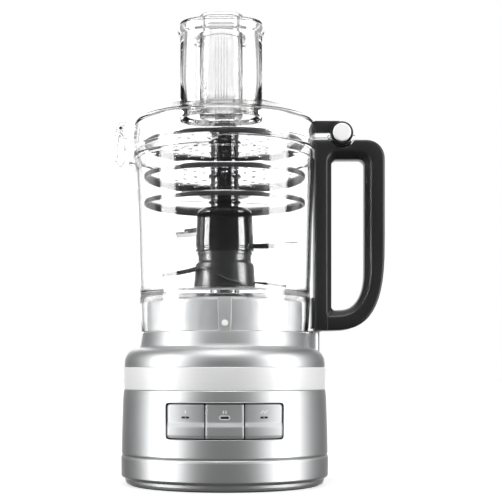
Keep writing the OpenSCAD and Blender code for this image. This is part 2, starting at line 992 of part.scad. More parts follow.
foot_ring();
bottom_cover();
bottom_screws();
lower_housing();
main_housing();
trim_band();
top_housing();
button_bezel();
cord_gland();
interlock_tower();
safety_switch();
control_board();
tact_switches();
gearbox_plate();
motor_stator();
field_windings();
upper_end_bell();
lower_end_bell();
motor_screws();
carbon_brushes();
lower_bearing();
upper_bearing();
shaft_seal();
rotor_core();
rotor_shaft();
commutator();
cooling_fan();
motor_pinion();
output_gear();
drive_shaft();
low_key();
low_lamp();
high_key();
high_lamp();
pulse_key();
pulse_lamp();
work_bowl();
handle();
handle_screws();
hinge_pin();
interlock_spring();
interlock_rod();
lid();
feed_chute();
lid_hinge_arm();
lid_latch();
latch_pin();
large_pusher();
small_pusher();
drive_adapter();
dough_blade();
chopping_hub();
chopping_blades();
disc_stem();
disc_plate_top();
disc_rim_top();
disc_plate_mid();
disc_rim_mid();
disc_plate_low();
disc_rim_low();
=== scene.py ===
import json
import math
from math import cos, pi, radians, sin, sqrt

import bmesh
import bpy
from mathutils import Matrix, Vector

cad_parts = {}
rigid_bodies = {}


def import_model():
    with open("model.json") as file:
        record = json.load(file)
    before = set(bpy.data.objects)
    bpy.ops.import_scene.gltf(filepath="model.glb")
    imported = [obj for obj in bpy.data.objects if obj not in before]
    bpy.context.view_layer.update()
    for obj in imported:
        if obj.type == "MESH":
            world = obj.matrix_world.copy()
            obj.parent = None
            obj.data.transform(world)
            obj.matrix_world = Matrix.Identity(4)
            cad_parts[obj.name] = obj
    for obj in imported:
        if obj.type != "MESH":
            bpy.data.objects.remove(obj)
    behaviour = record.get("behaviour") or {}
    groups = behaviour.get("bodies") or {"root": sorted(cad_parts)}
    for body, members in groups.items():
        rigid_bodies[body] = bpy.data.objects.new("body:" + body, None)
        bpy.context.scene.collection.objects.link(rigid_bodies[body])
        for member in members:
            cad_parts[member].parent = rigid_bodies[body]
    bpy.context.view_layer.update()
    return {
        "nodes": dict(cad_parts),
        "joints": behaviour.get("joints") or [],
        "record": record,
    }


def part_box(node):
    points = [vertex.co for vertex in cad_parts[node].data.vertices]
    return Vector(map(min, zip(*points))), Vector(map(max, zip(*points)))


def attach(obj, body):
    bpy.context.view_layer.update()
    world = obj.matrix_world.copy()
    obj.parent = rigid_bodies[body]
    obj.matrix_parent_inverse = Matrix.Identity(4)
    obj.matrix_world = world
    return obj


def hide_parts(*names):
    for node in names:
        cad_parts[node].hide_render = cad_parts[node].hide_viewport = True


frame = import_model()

MM = 0.001
TURN = 2 * pi
# edges between faces that meet at more than this many degrees stay sharp
CREASE = 32
FRONT_BACK = ((-1, "front"), (1, "back"))


# ------------ the frame, in millimetres

def corners(node):
    """Lowest and highest corner of a CAD node, in millimetres."""
    lo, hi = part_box(node)
    return lo / MM, hi / MM


def heights(node):
    lo, hi = corners(node)
    return lo.z, hi.z


def joint_point(name):
    joint = next(j for j in frame["joints"] if j["name"] == name)
    return Vector(joint["pos_m"]) / MM


LOWER = corners("lower_housing")
MAIN = corners("main_housing")
BAND = corners("trim_band")
TOP = corners("top_housing")
# the rod stands 2.9 mm inside the reach of its collar
ROD_X = corners("interlock_rod")[1].x - 2.9
BOWL = corners("work_bowl")
HANDLE = corners("handle")
HINGE = joint_point("lid_hinge")
LATCH = joint_point("latch_pivot")
KEY_NAMES = ("low", "high", "pulse")
KEYS = [corners(name + "_key") for name in KEY_NAMES]
LAMPS = [corners(name + "_lamp") for name in KEY_NAMES]


# ------------ outlines

def fillet(points, steps=5):
    """Rounds a polygon. Each point is (x, y) or (x, y, radius)."""
    out = []
    count = len(points)
    for i, point in enumerate(points):
        here = Vector(point[:2])
        radius = point[2] if len(point) > 2 else 0
        if radius <= 0:
            out.append(tuple(here))
            continue
        before = Vector(points[i - 1][:2]) - here
        after = Vector(points[(i + 1) % count][:2]) - here
        corner = before.angle(after)
        reach = min(radius / math.tan(corner / 2), before.length * 0.49, after.length * 0.49)
        start = here + before.normalized() * reach
        end = here + after.normalized() * reach
        for k in range(steps + 1):
            t = k / steps
            out.append(tuple(start * (1 - t) ** 2 + here * 2 * t * (1 - t) + end * t ** 2))
    return out


def smooth_line(points, steps=6):
    """A Catmull-Rom curve through the points."""
    pts = [Vector(p) for p in points]
    pts = [pts[0] * 2 - pts[1]] + pts + [pts[-1] * 2 - pts[-2]]
    out = []
    for i in range(1, len(pts) - 2):
        a, b, c, d = pts[i - 1:i + 3]
        for k in range(steps):
            t = k / steps
            out.append(tuple(0.5 * (2 * b + (c - a) * t + (2 * a - 5 * b + 4 * c - d) * t ** 2
                                    + (3 * b - a - 3 * c + d) * t ** 3)))
    return out + [tuple(pts[-2])]


def arc(x, y, radius, a0, a1, steps=12):
    return [(x + radius * cos(radians(a0 + (a1 - a0) * i / steps)),
             y + radius * sin(radians(a0 + (a1 - a0) * i / steps))) for i in range(steps + 1)]


def round_loop(x0, x1, y0, y1, corner, steps=10, side=8):
    """A rounded rectangle with the same number of points whatever its corners are.
    corner gives (width, height, power) for the corners (x1, y1), (x0, y1), (x0, y0), (x1, y0)."""
    out = []
    signs = ((1, 1), (-1, 1), (-1, -1), (1, -1))
    ends = []
    for (sx, sy), (w, h, power) in zip(signs, corner):
        cx = x1 - w if sx > 0 else x0 + w
        cy = y1 - h if sy > 0 else y0 + h
        curve = []
        for k in range(steps + 1):
            t = pi / 2 * k / steps
            c, s = cos(t) ** (2 / power), sin(t) ** (2 / power) if k else 0
            if k == steps:
                c, s = 0, 1
            curve.append((cx + sx * w * c, cy + sy * h * s))
        if sx * sy < 0:
            curve.reverse()
        ends.append(curve)
    for i, curve in enumerate(ends):
        out += curve
        a, b = Vector(curve[-1]), Vector(ends[(i + 1) % 4][0])
        out += [tuple(a.lerp(b, k / side)) for k in range(1, side)]
    return out


# ------------ meshes

def build(name, verts, faces, material, body, crease=CREASE, bevel=0):
    """A mesh from points in millimetres, which rides on body, or a tool for a cut if body is None."""
    mesh = bpy.data.meshes.new(name)
    mesh.from_pydata([Vector(v) * MM for v in verts], [], faces)
    bm = bmesh.new()
    bm.from_mesh(mesh)
    bmesh.ops.remove_doubles(bm, verts=bm.verts, dist=1e-7)
    bmesh.ops.recalc_face_normals(bm, faces=bm.faces)
    bm.to_mesh(mesh)
    bm.free()
    obj = bpy.data.objects.new(name, mesh)
    bpy.context.scene.collection.objects.link(obj)
    if bevel:
        mod = obj.modifiers.new("edges", "BEVEL")
        mod.width = bevel * MM
        mod.segments = 3
        mod.limit_method = "ANGLE"
        mod.angle_limit = radians(crease)
        settle(obj)
    mark_sharp(obj.data, crease)
    obj.data.materials.clear()
    obj.data.materials.append(material)
    if body:
        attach(obj, body)
    return obj


def mark_sharp(mesh, crease):
    bm = bmesh.new()
    bm.from_mesh(mesh)
    limit = radians(crease)
    for face in bm.faces:
        face.smooth = True
    for edge in bm.edges:
        edge.smooth = len(edge.link_faces) == 2 and edge.calc_face_angle(0) < limit
    bm.to_mesh(mesh)
    bm.free()


def settle(obj):
    """Applies the object's modifiers to its mesh."""
    bpy.context.view_layer.update()
    made = bpy.data.meshes.new_from_object(obj.evaluated_get(bpy.context.evaluated_depsgraph_get()))
    obj.modifiers.clear()
    obj.data = made


def cut(obj, *tools, crease=CREASE):
    """Takes the tools' shapes out of the object, and the tools away."""
    for tool in tools:
        mod = obj.modifiers.new("cut", "BOOLEAN")
        mod.operation = "DIFFERENCE"
        mod.solver = "EXACT"
        mod.object = tool
        settle(obj)
        bpy.data.objects.remove(tool)
    mark_sharp(obj.data, crease)


def lathe(name, profile, material, body, turns=180, crease=CREASE, axis=None, warp=None):
    """Turns a (radius, height) profile about the Z axis, or about an axis along Y through axis."""
    verts, faces = [], []
    count = len(profile)
    on_axis = [r < 1e-6 for r, _ in profile]
    for i in range(turns):
        a = TURN * i / turns
        verts += [(r * cos(a), r * sin(a), z) for r, z in profile]
        j = (i + 1) % turns
        for k in range(count):
            m = (k + 1) % count
            if on_axis[k] and on_axis[m]:
                continue
            quad = [i * count + k, i * count + m, j * count + m, j * count + k]
            if on_axis[k]:
                quad.remove(j * count + k)
            elif on_axis[m]:
                quad.remove(j * count + m)
            faces.append(quad)
    if axis is not None:
        verts = [(axis[0] + x, z, axis[2] + y) for x, y, z in verts]
    if warp is not None:
        verts = [warp(*v) for v in verts]
    return build(name, verts, faces, material, body, crease)


def skin(rings, count, start=0, caps=True, loop=False):
    """Faces that join rings of count points each, numbered from start."""
    faces = []
    for i in range(rings if loop else rings - 1):
        a, b = start + i * count, start + (i + 1) % rings * count
        faces += [[a + k, a + (k + 1) % count, b + (k + 1) % count, b + k] for k in range(count)]
    if caps and not loop:
        faces += [[first + k for k in range(count)] for first in (start, start + (rings - 1) * count)]
    return faces


def loft(name, rings, material, body, caps=True, loop=False, crease=CREASE, bevel=0):
    """Joins rings of the same number of points, each point in millimetres."""
    verts = [p for ring in rings for p in ring]
    faces = skin(len(rings), len(rings[0]), 0, caps, loop)
    return build(name, verts, faces, material, body, crease, bevel)


def prism(name, outline, lo, hi, material, body, plane="xy", bevel=0, crease=CREASE):
    """An outline pushed straight from lo to hi, with its edges rounded."""
    place = {"xy": lambda x, y, t: (x, y, t), "xz": lambda x, y, t: (x, t, y)}[plane]
    rings = [[place(x, y, t) for x, y in outline] for t in (lo, hi)]
    return loft(name, rings, material, body, crease=crease, bevel=bevel)


def turned(obj, angle):
    """Turns a piece about the Z axis."""
    obj.data.transform(Matrix.Rotation(angle, 4, "Z"))
    return obj


def rectangle(x0, x1, y0, y1, radius=0, steps=5):
    return fillet([(x0, y0, radius), (x1, y0, radius), (x1, y1, radius), (x0, y1, radius)], steps)


def hoop(name, path, radius, material, body, sides=10):
    """A round bar along a closed path of points in millimetres."""
    pts = [Vector(p) for p in path]
    rings = []
    up = None
    for i, p in enumerate(pts):
        ahead = (pts[(i + 1) % len(pts)] - pts[i - 1]).normalized()
        if up is None:
            up = ahead.orthogonal().normalized()
        up = (up - ahead * up.dot(ahead)).normalized()
        side = ahead.cross(up)
        rings.append([tuple(p + (up * cos(TURN * k / sides) + side * sin(TURN * k / sides)) * radius)
                      for k in range(sides)])
    return loft(name, rings, material, body, loop=True)


def stands_for(piece, *nodes):
    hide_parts(*nodes)
    return piece


SLOTS = {s["node"]: s["material_slot"] for s in frame["record"]["subparts"]}


# ------------ materials

class Graph:
    """Adds nodes to a material or a world, and links them."""

    def __init__(self, owner):
        owner.use_nodes = True
        self.tree = owner.node_tree

    def add(self, kind, inputs=(), **settings):
        node = self.tree.nodes.new("ShaderNode" + kind)
        for key, value in settings.items():
            setattr(node, key, value)
        return self.feed(node, dict(inputs))

    def feed(self, node, inputs):
        """Sets each named or numbered socket to a value, or links it to another node's socket."""
        for key, value in inputs.items():
            if isinstance(value, bpy.types.NodeSocket):
                self.tree.links.new(value, node.inputs[key])
            else:
                node.inputs[key].default_value = value
        return node

    def math(self, kind, *values):
        return self.add("Math", enumerate(values), operation=kind).outputs[0]


def swirl_coords(graph, coords):
    """Coordinates that run round the Z axis, for streaks that do the same."""
    split = graph.add("SeparateXYZ", {0: coords}).outputs
    angle = graph.math("ARCTAN2", split["Y"], split["X"])
    flat = graph.add("VectorMath", {0: coords, 1: (1, 1, 0)}, operation="MULTIPLY")
    radius = graph.add("VectorMath", {0: flat.outputs[0]}, operation="LENGTH")
    join = {"X": graph.math("MULTIPLY", angle, 0.08), "Y": radius.outputs["Value"], "Z": split["Z"]}
    return graph.add("CombineXYZ", join).outputs[0]


def node_material(name, color, metallic=0.0, roughness=0.4, ior=1.5, transmission=0.0, coat=0.0,
                  coat_roughness=0.1, variation=0.06, rough_variation=0.1, grain=0.0,
                  grain_size=900.0, stretch=(1, 1, 1), swirl=False):
    """A material whose colour, roughness and surface all vary by noise.
    stretch scales the noise along each axis, so that small numbers draw long streaks.
    With swirl the streaks run round the Z axis."""
    mat = bpy.data.materials.new(name)
    graph = Graph(mat)
    coords = graph.add("TexCoord").outputs["Object"]
    if swirl:
        coords = swirl_coords(graph, coords)
    coords = graph.add("Mapping", {"Scale": stretch, "Vector": coords}).outputs[0]

    def noise(scale, detail):
        return graph.add("TexNoise", {"Scale": scale, "Detail": detail, "Vector": coords}).outputs["Fac"]

    swing = rough_variation * 2
    rough = graph.add("MapRange", {"To Min": max(roughness * (1 - swing), 0.0),
                                   "To Max": roughness * (1 + swing), "Value": noise(14.0, 4.0)})
    low = [max(c * (1 - variation), 0) for c in color]
    high = [min(c * (1 + variation), 1) for c in color]
    blend = graph.add("Mix", {"A": (*low, 1), "B": (*high, 1), "Factor": noise(55.0, 5.0)},
                      data_type="RGBA")
    shader = graph.feed(mat.node_tree.nodes["Principled BSDF"], {
        "Metallic": metallic, "IOR": ior, "Transmission Weight": transmission, "Coat Weight": coat,
        "Coat Roughness": coat_roughness, "Roughness": rough.outputs[0],
        "Base Color": blend.outputs["Result"]})
    if grain:
        bump = graph.add("Bump", {"Strength": grain, "Distance": 0.00004,
                                  "Height": noise(grain_size, 2.0)})
        graph.feed(shader, {"Normal": bump.outputs[0]})
    return mat


SILVER = node_material("silver_paint", (0.57, 0.575, 0.58), metallic=1.0, roughness=0.48,
                       variation=0.02, rough_variation=0.03, grain=0.08, grain_size=3200.0)
BRUSHED = node_material("brushed_band", (0.90, 0.90, 0.905), metallic=0.15, roughness=0.45,
                        variation=0.02, grain=0.3, grain_size=420.0, stretch=(0.6, 1, 9), swirl=True)
KEY_FACE = node_material("key_plastic", (0.46, 0.465, 0.47), metallic=0.55, roughness=0.46,
                         variation=0.02, rough_variation=0.03, grain=0.08, grain_size=3000.0)
BLACK_SATIN = node_material("black_satin", (0.017, 0.017, 0.018), roughness=0.36, variation=0.12,
                            grain=0.35, grain_size=1500.0)
BLACK_GLOSS = node_material("black_gloss", (0.005, 0.005, 0.006), roughness=0.07, ior=1.9, coat=0.4,
                            coat_roughness=0.03, variation=0.1, grain=0.04, grain_size=700.0)
RIM_BLACK = node_material("rim_black", (0.02, 0.02, 0.021), roughness=0.3, variation=0.1, grain=0.2,
                          grain_size=1400.0)
DARK_GREY = node_material("dark_grey", (0.05, 0.05, 0.052), roughness=0.3, variation=0.08,
                          grain=0.25, grain_size=1600.0)
SATIN_HUB = node_material("satin_hub", (0.012, 0.012, 0.013), roughness=0.25, ior=1.9, variation=0.08,
                          grain=0.2, grain_size=1600.0)
RUBBER = node_material("rubber", (0.016, 0.016, 0.016), roughness=0.7, variation=0.15, grain=0.6,
                       grain_size=1100.0)
CLEAR = node_material("clear_plastic", (0.998, 0.998, 0.998), roughness=0.012, ior=1.49,
                      transmission=1.0, variation=0.001, rough_variation=0.4, grain=0.01,
                      grain_size=60.0)
CLEAR_TINT = node_material("clear_lever", (0.86, 0.87, 0.87), roughness=0.02, ior=1.49, transmission=1.0,
                           variation=0.01, grain=0.01, grain_size=60.0)
STEEL = node_material("ground_steel", (0.70, 0.70, 0.71), metallic=1.0, roughness=0.2,
                      variation=0.05, grain=0.35, grain_size=700.0, stretch=(0.15, 4, 4))
PLATE = node_material("turned_steel", (0.93, 0.93, 0.935), metallic=1.0, roughness=0.13,
                      variation=0.03, grain=0.12, grain_size=500.0, stretch=(0.5, 8, 8), swirl=True)
# chrome pin caps: the near-white non-metal colour is a painted reflection of the bright studio, standing in
# for the chrome's own mirror finish
CHROME_PAINTED_REFLECTION = node_material("chrome_cap_painted_reflection", (0.97, 0.97, 0.97), metallic=0.05, roughness=0.35, coat=0.3,
                       variation=0.02, grain=0.02, grain_size=900.0)
WHITE = node_material("white_print", (0.82, 0.82, 0.80), roughness=0.5, variation=0.03, grain=0.1)
LAMP = node_material("lamp_window", (0.03, 0.03, 0.03), roughness=0.15, coat=0.5, variation=0.1,
                     grain=0.05)
GLOW = node_material("lamp_frame", (0.86, 0.87, 0.86), roughness=0.3, variation=0.02, grain=0.05)
COPPER = node_material("wound_copper", (0.60, 0.27, 0.12), metallic=1.0, roughness=0.3,
                       variation=0.2, grain=1.0, grain_size=500.0, stretch=(1, 1, 12))
LAMINATION = node_material("lamination", (0.30, 0.30, 0.31), metallic=1.0, roughness=0.45,
                           variation=0.1, grain=1.0, grain_size=300.0, stretch=(0.2, 0.2, 14))
ALLOY = node_material("cast_alloy", (0.52, 0.52, 0.53), metallic=0.9, roughness=0.5,
                      variation=0.1, grain=0.8, grain_size=600.0)
ACETAL = node_material("acetal", (0.80, 0.79, 0.74), roughness=0.42, variation=0.03, grain=0.2)
BOARD = node_material("circuit_board", (0.02, 0.14, 0.06), roughness=0.35, variation=0.25,
                      grain=0.5, grain_size=380.0)
CARBON = node_material("carbon", (0.03, 0.03, 0.032), roughness=0.6, variation=0.3, grain=0.8)

INNER = {
    "silver_housing": SILVER, "trim_metal": BRUSHED, "key_plastic": KEY_FACE, "lamp": LAMP,
    "black_rubber": RUBBER, "black_plastic": BLACK_SATIN, "gloss_black": BLACK_GLOSS,
    "grey_plastic": DARK_GREY, "steel": STEEL, "pin_chrome": CHROME_PAINTED_REFLECTION, "lamination": LAMINATION,
    "copper": COPPER, "cast_alloy": ALLOY, "white_plastic": ACETAL, "board": BOARD,
    "carbon": CARBON, "clear_plastic": CLEAR,
}
# the record's slot for pieces of each material, unless the piece says another
for node_name, node_object in frame["nodes"].items():
    node_object.data.materials.clear()
    node_object.data.materials.append(INNER[SLOTS[node_name]])


# ------------ base

def make_base():
    foot_lo, foot_hi = corners("foot_ring")
    outer = foot_hi.x
    foot = lathe("foot", fillet([(outer - 10, foot_lo.z, 0.6), (outer - 0.6, foot_lo.z, 0.5),
                                 (outer - 0.2, 0.9), (outer - 5, 1), (outer - 5, foot_hi.z),
                                 (outer - 10, foot_hi.z)]), RUBBER, "base")
    stands_for(foot, "foot_ring")

    r, z = LOWER[1].x, LOWER[0].z
    lower = lathe("skirt_shell", fillet([
        (r - 8.4, 1.1), (r - 4.9, 1.1, 0.8), (r - 3.9, 3.4, 1), (r - 3.5, z + 3.4, 0.8),
        (r - 2.8, z + 4.2, 0.4), (r - 1.0, z + 4.8, 0.9), (r - 0.2, z + 6.2, 1.2),
        (r, z + 21.8, 1.0), (r - 0.4, z + 23.4, 0.6), (r - 0.9, z + 24.1, 0.3), (r - 5.8, z + 24.1),
        (r - 5.8, z + 21), (r - 3.4, z + 20.7), (r - 3.4, z + 6.5), (r - 8.4, z + 4.1)]),
        SILVER, "base")
    hole = lathe("gland_hole", [(0, 80), (6, 80), (6, 100), (0, 100)], SILVER, None, 48,
                 axis=(0, 0, corners("cord_gland")[0].z + 8.5))
    cut(lower, hole)
    stands_for(lower, "lower_housing")

    r, z0, z1 = MAIN[1].x, MAIN[0].z, BAND[0].z
    main = lathe("body_shell", fillet([
        (r - 5.2, z0), (r - 0.9, z0, 0.3), (r - 0.6, z0 + 0.6, 0.4), (r, z0 + 2.0, 1.2),
        (r - 0.3, z0 + 20, 20), (r - 1.3, z1 - 8, 20), (r - 2.0, z1 - 0.8, 0.8), (r - 2.6, z1, 0.4),
        (r - 5.2, z1), (r - 5.2, z1 + 3), (r - 7, z1 + 3), (r - 7, z1 - 6), (r - 3.2, z1 - 10),
        (r - 3.2, z0 + 3), (r - 4.4, z0 + 2.4)]), SILVER, "base", turns=240)
    cut(main, prism("panel_hole", panel_outline(0), -100, -70, SILVER, None, "xz"))
    stands_for(main, "main_housing")
    make_panel_lip()

    r, z0, z1 = BAND[1].x, BAND[0].z, BAND[1].z
    band = lathe("trim_ring", fillet([(r - 3, z0), (r - 0.1, z0, 0.5), (r, z1, 0.5), (r - 3, z1)]),
                 BRUSHED, "base", turns=240)
    stands_for(band, "trim_band")
    make_top_shell()

    lo, hi = corners("interlock_tower")
    block = prism("tower_block", rectangle(lo.x - 3, hi.x, -10, 10, 6.5, 10), lo.z, hi.z, SILVER, "base",
                  bevel=0.8)
    slot_cut = prism("tower_slot", rectangle(lo.x - 6, lo.x + 5.5, -12, 12, 0.5), hi.z - 1.2, hi.z + 5,
                     SILVER, None)
    cut(block, slot_cut)
    stands_for(block, "interlock_tower")

    lo, hi = corners("cord_gland")
    middle = (0, 0, (lo.z + hi.z) / 2)
    gland = lathe("gland", fillet([
        (3.6, lo.y), (7.5, lo.y, 0.4), (7.5, lo.y + 2), (6, lo.y + 2), (6, lo.y + 8.9),
        (8.5, lo.y + 8.9, 0.3), (8.5, hi.y - 1.5, 0.8), (5.2, hi.y, 0.6), (3.6, hi.y, 0.4)]),
        RUBBER, "base", 64, axis=middle)
    stands_for(gland, "cord_gland")


def make_top_shell():
    z0, ledge = TOP[0].z, BOWL[0].z - 0.3
    deck = TOP[1].z
    shoulder = [(89.7, z0 + 0.4)]
    for k in range(1, 17):
        t = radians(78 * k / 16)
        shoulder.append((75.8 + 13.9 * cos(t) ** (2 / 2.4), z0 + 1.6 + 15.2 * sin(t) ** (2 / 2.4)))
    rise = fillet([shoulder[-1], (76.0, z0 + 17.6, 1.2), (75.2, z0 + 20.2, 2), (73.5, ledge, 0.6),
                   (69.8, ledge, 1.2), (69.5, deck, 4.5), (10, deck, 0.3),
                   (10, deck - 4)])
    inside = [(66, deck - 4), (66, ledge - 3), (72, z0 + 14.8), (78, z0 + 12.8), (84.4, z0 + 5.8)]
    top = lathe("top_shell", [(84.4, z0), (89.3, z0)] + shoulder + rise[1:] + inside, SILVER,
                "base", turns=240)
    stands_for(top, "top_housing")
    # index rib on the deck's wall, behind the mark on the bowl
    rib = prism("index_rib", [(-5.2, ledge + 0.6), (5.2, ledge + 0.6), (6, deck - 1), (-6, deck - 1)],
                -71.2, -68.6, KEY_FACE, "base", "xz", bevel=0.7)
    spot = lathe("index_dot", fillet([(0, -71.5), (2.7, -71.5, 0.3), (2.7, -71.0), (0, -71.0)]),
                 WHITE, "base", 40, axis=(0, 0, ledge + 6.6))
    seal_lo, seal_hi = corners("shaft_seal")
    seal = lathe("shaft_gasket", fillet([(7.4, seal_lo.z), (22, seal_lo.z), (22, seal_hi.z, 0.5),
                                         (12, seal_hi.z - 0.4, 1), (9, seal_hi.z, 0.4),
                                         (7.4, seal_hi.z, 0.3)]), RUBBER, "base", 96)
    stands_for(seal, "shaft_seal")


# ------------ keys

PANEL_X0, PANEL_X1 = KEYS[0][0].x, KEYS[2][1].x
PANEL_Z0, PANEL_Z1 = KEYS[0][0].z, KEYS[0][1].z
PANEL_RIM = 0.9
KEY_RADIUS = -KEYS[1][0].y
KEY_BACK = 88.4


def panel_outline(grow, steps=8):
    g = PANEL_RIM + grow
    return rectangle(PANEL_X0 - g, PANEL_X1 + g, PANEL_Z0 - g, PANEL_Z1 + g, 3.5 + grow, steps)


def housing_radius(z):
    """Outer radius of the main housing at a height."""
    t = (z - MAIN[0].z - 2.4) / (BAND[0].z - 8 - MAIN[0].z - 2.4)
    return MAIN[1].x - 1.3 * min(max(t, 0), 1)


def make_panel_lip():
    """A thin rounded edge round the panel opening, on the curved front."""
    outline = panel_outline(0.25, 10)
    path = []
    for i, (x, z) in enumerate(outline):
        nx, nz = outline[(i + 1) % len(outline)]
        parts = max(1, int(Vector((nx - x, nz - z)).length / 2))
        for k in range(parts):
            px, pz = x + (nx - x) * k / parts, z + (nz - z) * k / parts
            r = housing_radius(pz) - 0.25
            path.append((px, -sqrt(r * r - px * px), pz))
    hoop("panel_edge", path, 0.5, SILVER, "base", 12)


def key_profile():
    """Heights of a key's face with how far each stands out from the key's radius."""
    z0, z1 = PANEL_Z0, PANEL_Z1
    return [(z0, -2.6), (z0 + 0.35, -1.2), (z0 + 0.9, -0.75), (z0 + 2.2, -0.5), (z0 + 2.5, -0.25),
            (z0 + 6, -0.1), (z0 + 9.4, -0.02), (z0 + 10.0, -0.12), (z0 + 10.6, -0.4),
            (z0 + 13.4, -1.75), (z0 + 14.0, -1.95), (z0 + 14.8, -2.0), (z0 + 20, -2.0),
            (z1 - 2.2, -2.0), (z1 - 0.9, -2.05), (z1 - 0.35, -2.3), (z1, -3.2)]


def make_key(index, name):
    lo, hi = KEYS[index]
    middle = (lo.x + hi.x) / 2
    columns, row_step = 26, 0.7
    corner_left, corner_right = (3.0 if index == 0 else 0.5), (3.0 if index == 2 else 0.5)
    rows = key_profile()
    fine = []
    for (za, da), (zb, db) in zip(rows, rows[1:]):
        parts = max(1, round((zb - za) / row_step))
        fine += [(za + (zb - za) * k / parts, da + (db - da) * k / parts) for k in range(parts)]
    fine.append(rows[-1])

    def limit(z, radius):
        d = min(z - lo.z, hi.z - z)
        return radius - sqrt(max(radius ** 2 - (radius - min(d, radius)) ** 2, 0))

    rings = []
    for z, depth in fine:
        x0, x1 = lo.x + limit(z, corner_left), hi.x - limit(z, corner_right)
        front, back = [], []
        for i in range(columns + 1):
            u = i / columns
            x = x0 + (x1 - x0) * u
            edge = min(u, 1 - u) * (x1 - x0)
            drop = 0.5 * max(0.0, 1 - edge / 0.9) ** 2
            r = KEY_RADIUS + depth - drop
            front.append((x, -sqrt(r * r - x * x), z))
            back.append((x, -sqrt(KEY_BACK ** 2 - x * x), z))
        rings.append(front + back[::-1])
    body = name + "_button"
    key = loft(name + "_cap", rings, KEY_FACE, body, crease=50)
    stands_for(key, name + "_key")
    stem = prism(name + "_stem", rectangle(middle - 3, middle + 3, 57, 63, 0.6),
                 -sqrt((KEY_BACK - 0.2) ** 2 - middle ** 2), hi.y, BLACK_SATIN, body, "xz")
    make_lamp(index, name, middle)


def on_key(x, proud=0.0):
    """Y of the flat upper part of the keys' face at x."""
    r = KEY_RADIUS - 2.0 + proud
    return -sqrt(r * r - x * x)


def key_ring(outline, x, z, proud):
    """An outline round (x, z), laid on the keys' curved face."""
    return [(x + px, on_key(x + px, proud), z + pz) for px, pz in outline]


def key_mark(name, outline, x, z, body):
    """A small flat mark printed on the keys' curved face."""
    rings = [key_ring(outline, x, z, proud) for proud in (0.05, -0.25)]
    loft(name, rings, WHITE, body)


def pill(hw, hh, steps=8):
    return arc(hw - hh, 0, hh, -90, 90, steps) + arc(-hw + hh, 0, hh, 90, 270, steps)


def make_lamp(index, name, x):
    """The lamp's window, with a lit frame on the middle key, and the key's generic mark above."""
    body = name + "_button"
    z = (LAMPS[index][0].z + LAMPS[index][1].z) / 2
    window = [key_ring(pill(3.3, 0.85), x, z, proud) for proud in (0.06, -0.54)]
    lens = loft(name + "_window", window, LAMP, body)
    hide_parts(name + "_lamp")
    if name == "high":
        outer, inner = pill(4.6, 1.9), pill(3.9, 1.3)
        edges = [key_ring(outline, x, z, proud) for outline, proud in
                 ((outer, 0.05), (inner, 0.05), (inner, -0.3), (outer, -0.3))]
        loft(name + "_halo", [list(ring) for ring in zip(*edges)], GLOW, body, loop=True)
    bars = {"low": [(-0.5, 0.5)], "high": [(-1.6, -0.6), (0.6, 1.6)], "pulse": []}[name]
    outlines = [rectangle(x0, x1, -1.3, 1.3, 0.25) for x0, x1 in bars]
    if name == "pulse":
        wave = [(-3.2, -0.8), (-1.6, -0.8), (-1.6, 0.8), (0, 0.8), (0, -0.8), (1.6, -0.8), (1.6, 0.8),
                (3.2, 0.8)]
        w = 0.28
        outlines = [rectangle(min(xa, xb) - w, max(xa, xb) + w, min(za, zb) - w, max(za, zb) + w, 0.1)
                    for (xa, za), (xb, zb) in zip(wave, wave[1:])]
    for k, outline in enumerate(outlines):
        key_mark(f"{name}_mark_{k}", outline, x, z + 4.6, body)


# ------------ bowl and handle

PIN_R = 4
BARREL_R = 10.2
# half the width of the knuckle, then of the gap that it turns in
KNUCKLE_HW, KNUCKLE_GAP = 6, 6.35

def make_bowl():
    z0, rim = BOWL[0].z, 297.5
    floor = corners("drive_adapter")[0].z - 1.6
    outer = fillet([(72.3, z0, 0.5), (75.0, z0, 0.8), (75.7, z0 + 9, 10), (76.7, z0 + 27, 4),
                    (76.8, z0 + 31, 2), (76.5, z0 + 35, 3), (76.7, z0 + 42, 10), (77.4, 192, 20),
                    (78.3, 228, 20), (79.2, 251, 10), (80.0, 264, 6), (80.6, 277, 6), (81, 286, 3),
                    (81, 288.8, 0.8), (79.3, 290.6, 0.5), (79.3, rim, 0.7), (76.9, rim, 0.7),
                    (77.4, 288, 8), (77.4, 278, 8), (76.8, 264, 10), (75.4, 228, 20), (74.6, 192, 10),
                    (74, 176, 3), (73.4, floor + 2, 3), (71.4, floor, 2),
                    (14, floor, 2), (11.6, floor + 2, 1), (11.5, 189, 0.5), (11.2, 190, 0.5),
                    (9.2, 190, 0.4), (9, 189), (9, floor - 2.4), (73.3, floor - 2.4, 1),
                    (73.5, z0 + 26, 3)], 6)
    bowl = lathe("bowl_wall", outer, CLEAR, "bowl", turns=256)
    stands_for(bowl, "work_bowl")
    rail = prism("bowl_rail", rectangle(77.6, HANDLE[0].x + 0.6, -9, 9, 0.8), 139, 166.5, DARK_GREY,
                 "bowl", bevel=0.5)
    cut(rail, foot_pocket(ROD_X, DARK_GREY))
    prism("latch_catch", rectangle(-85.2, -79.8, -8, 8, 1.2), 285, 288.4, CLEAR, "bowl", bevel=0.6)


def foot_pocket(reach, material):
    """The room that the interlock rod's foot rises into when the lid opens."""
    return prism("foot_pocket", rectangle(70, reach, -3.5, 3.5), 120, 141.2, material, None)


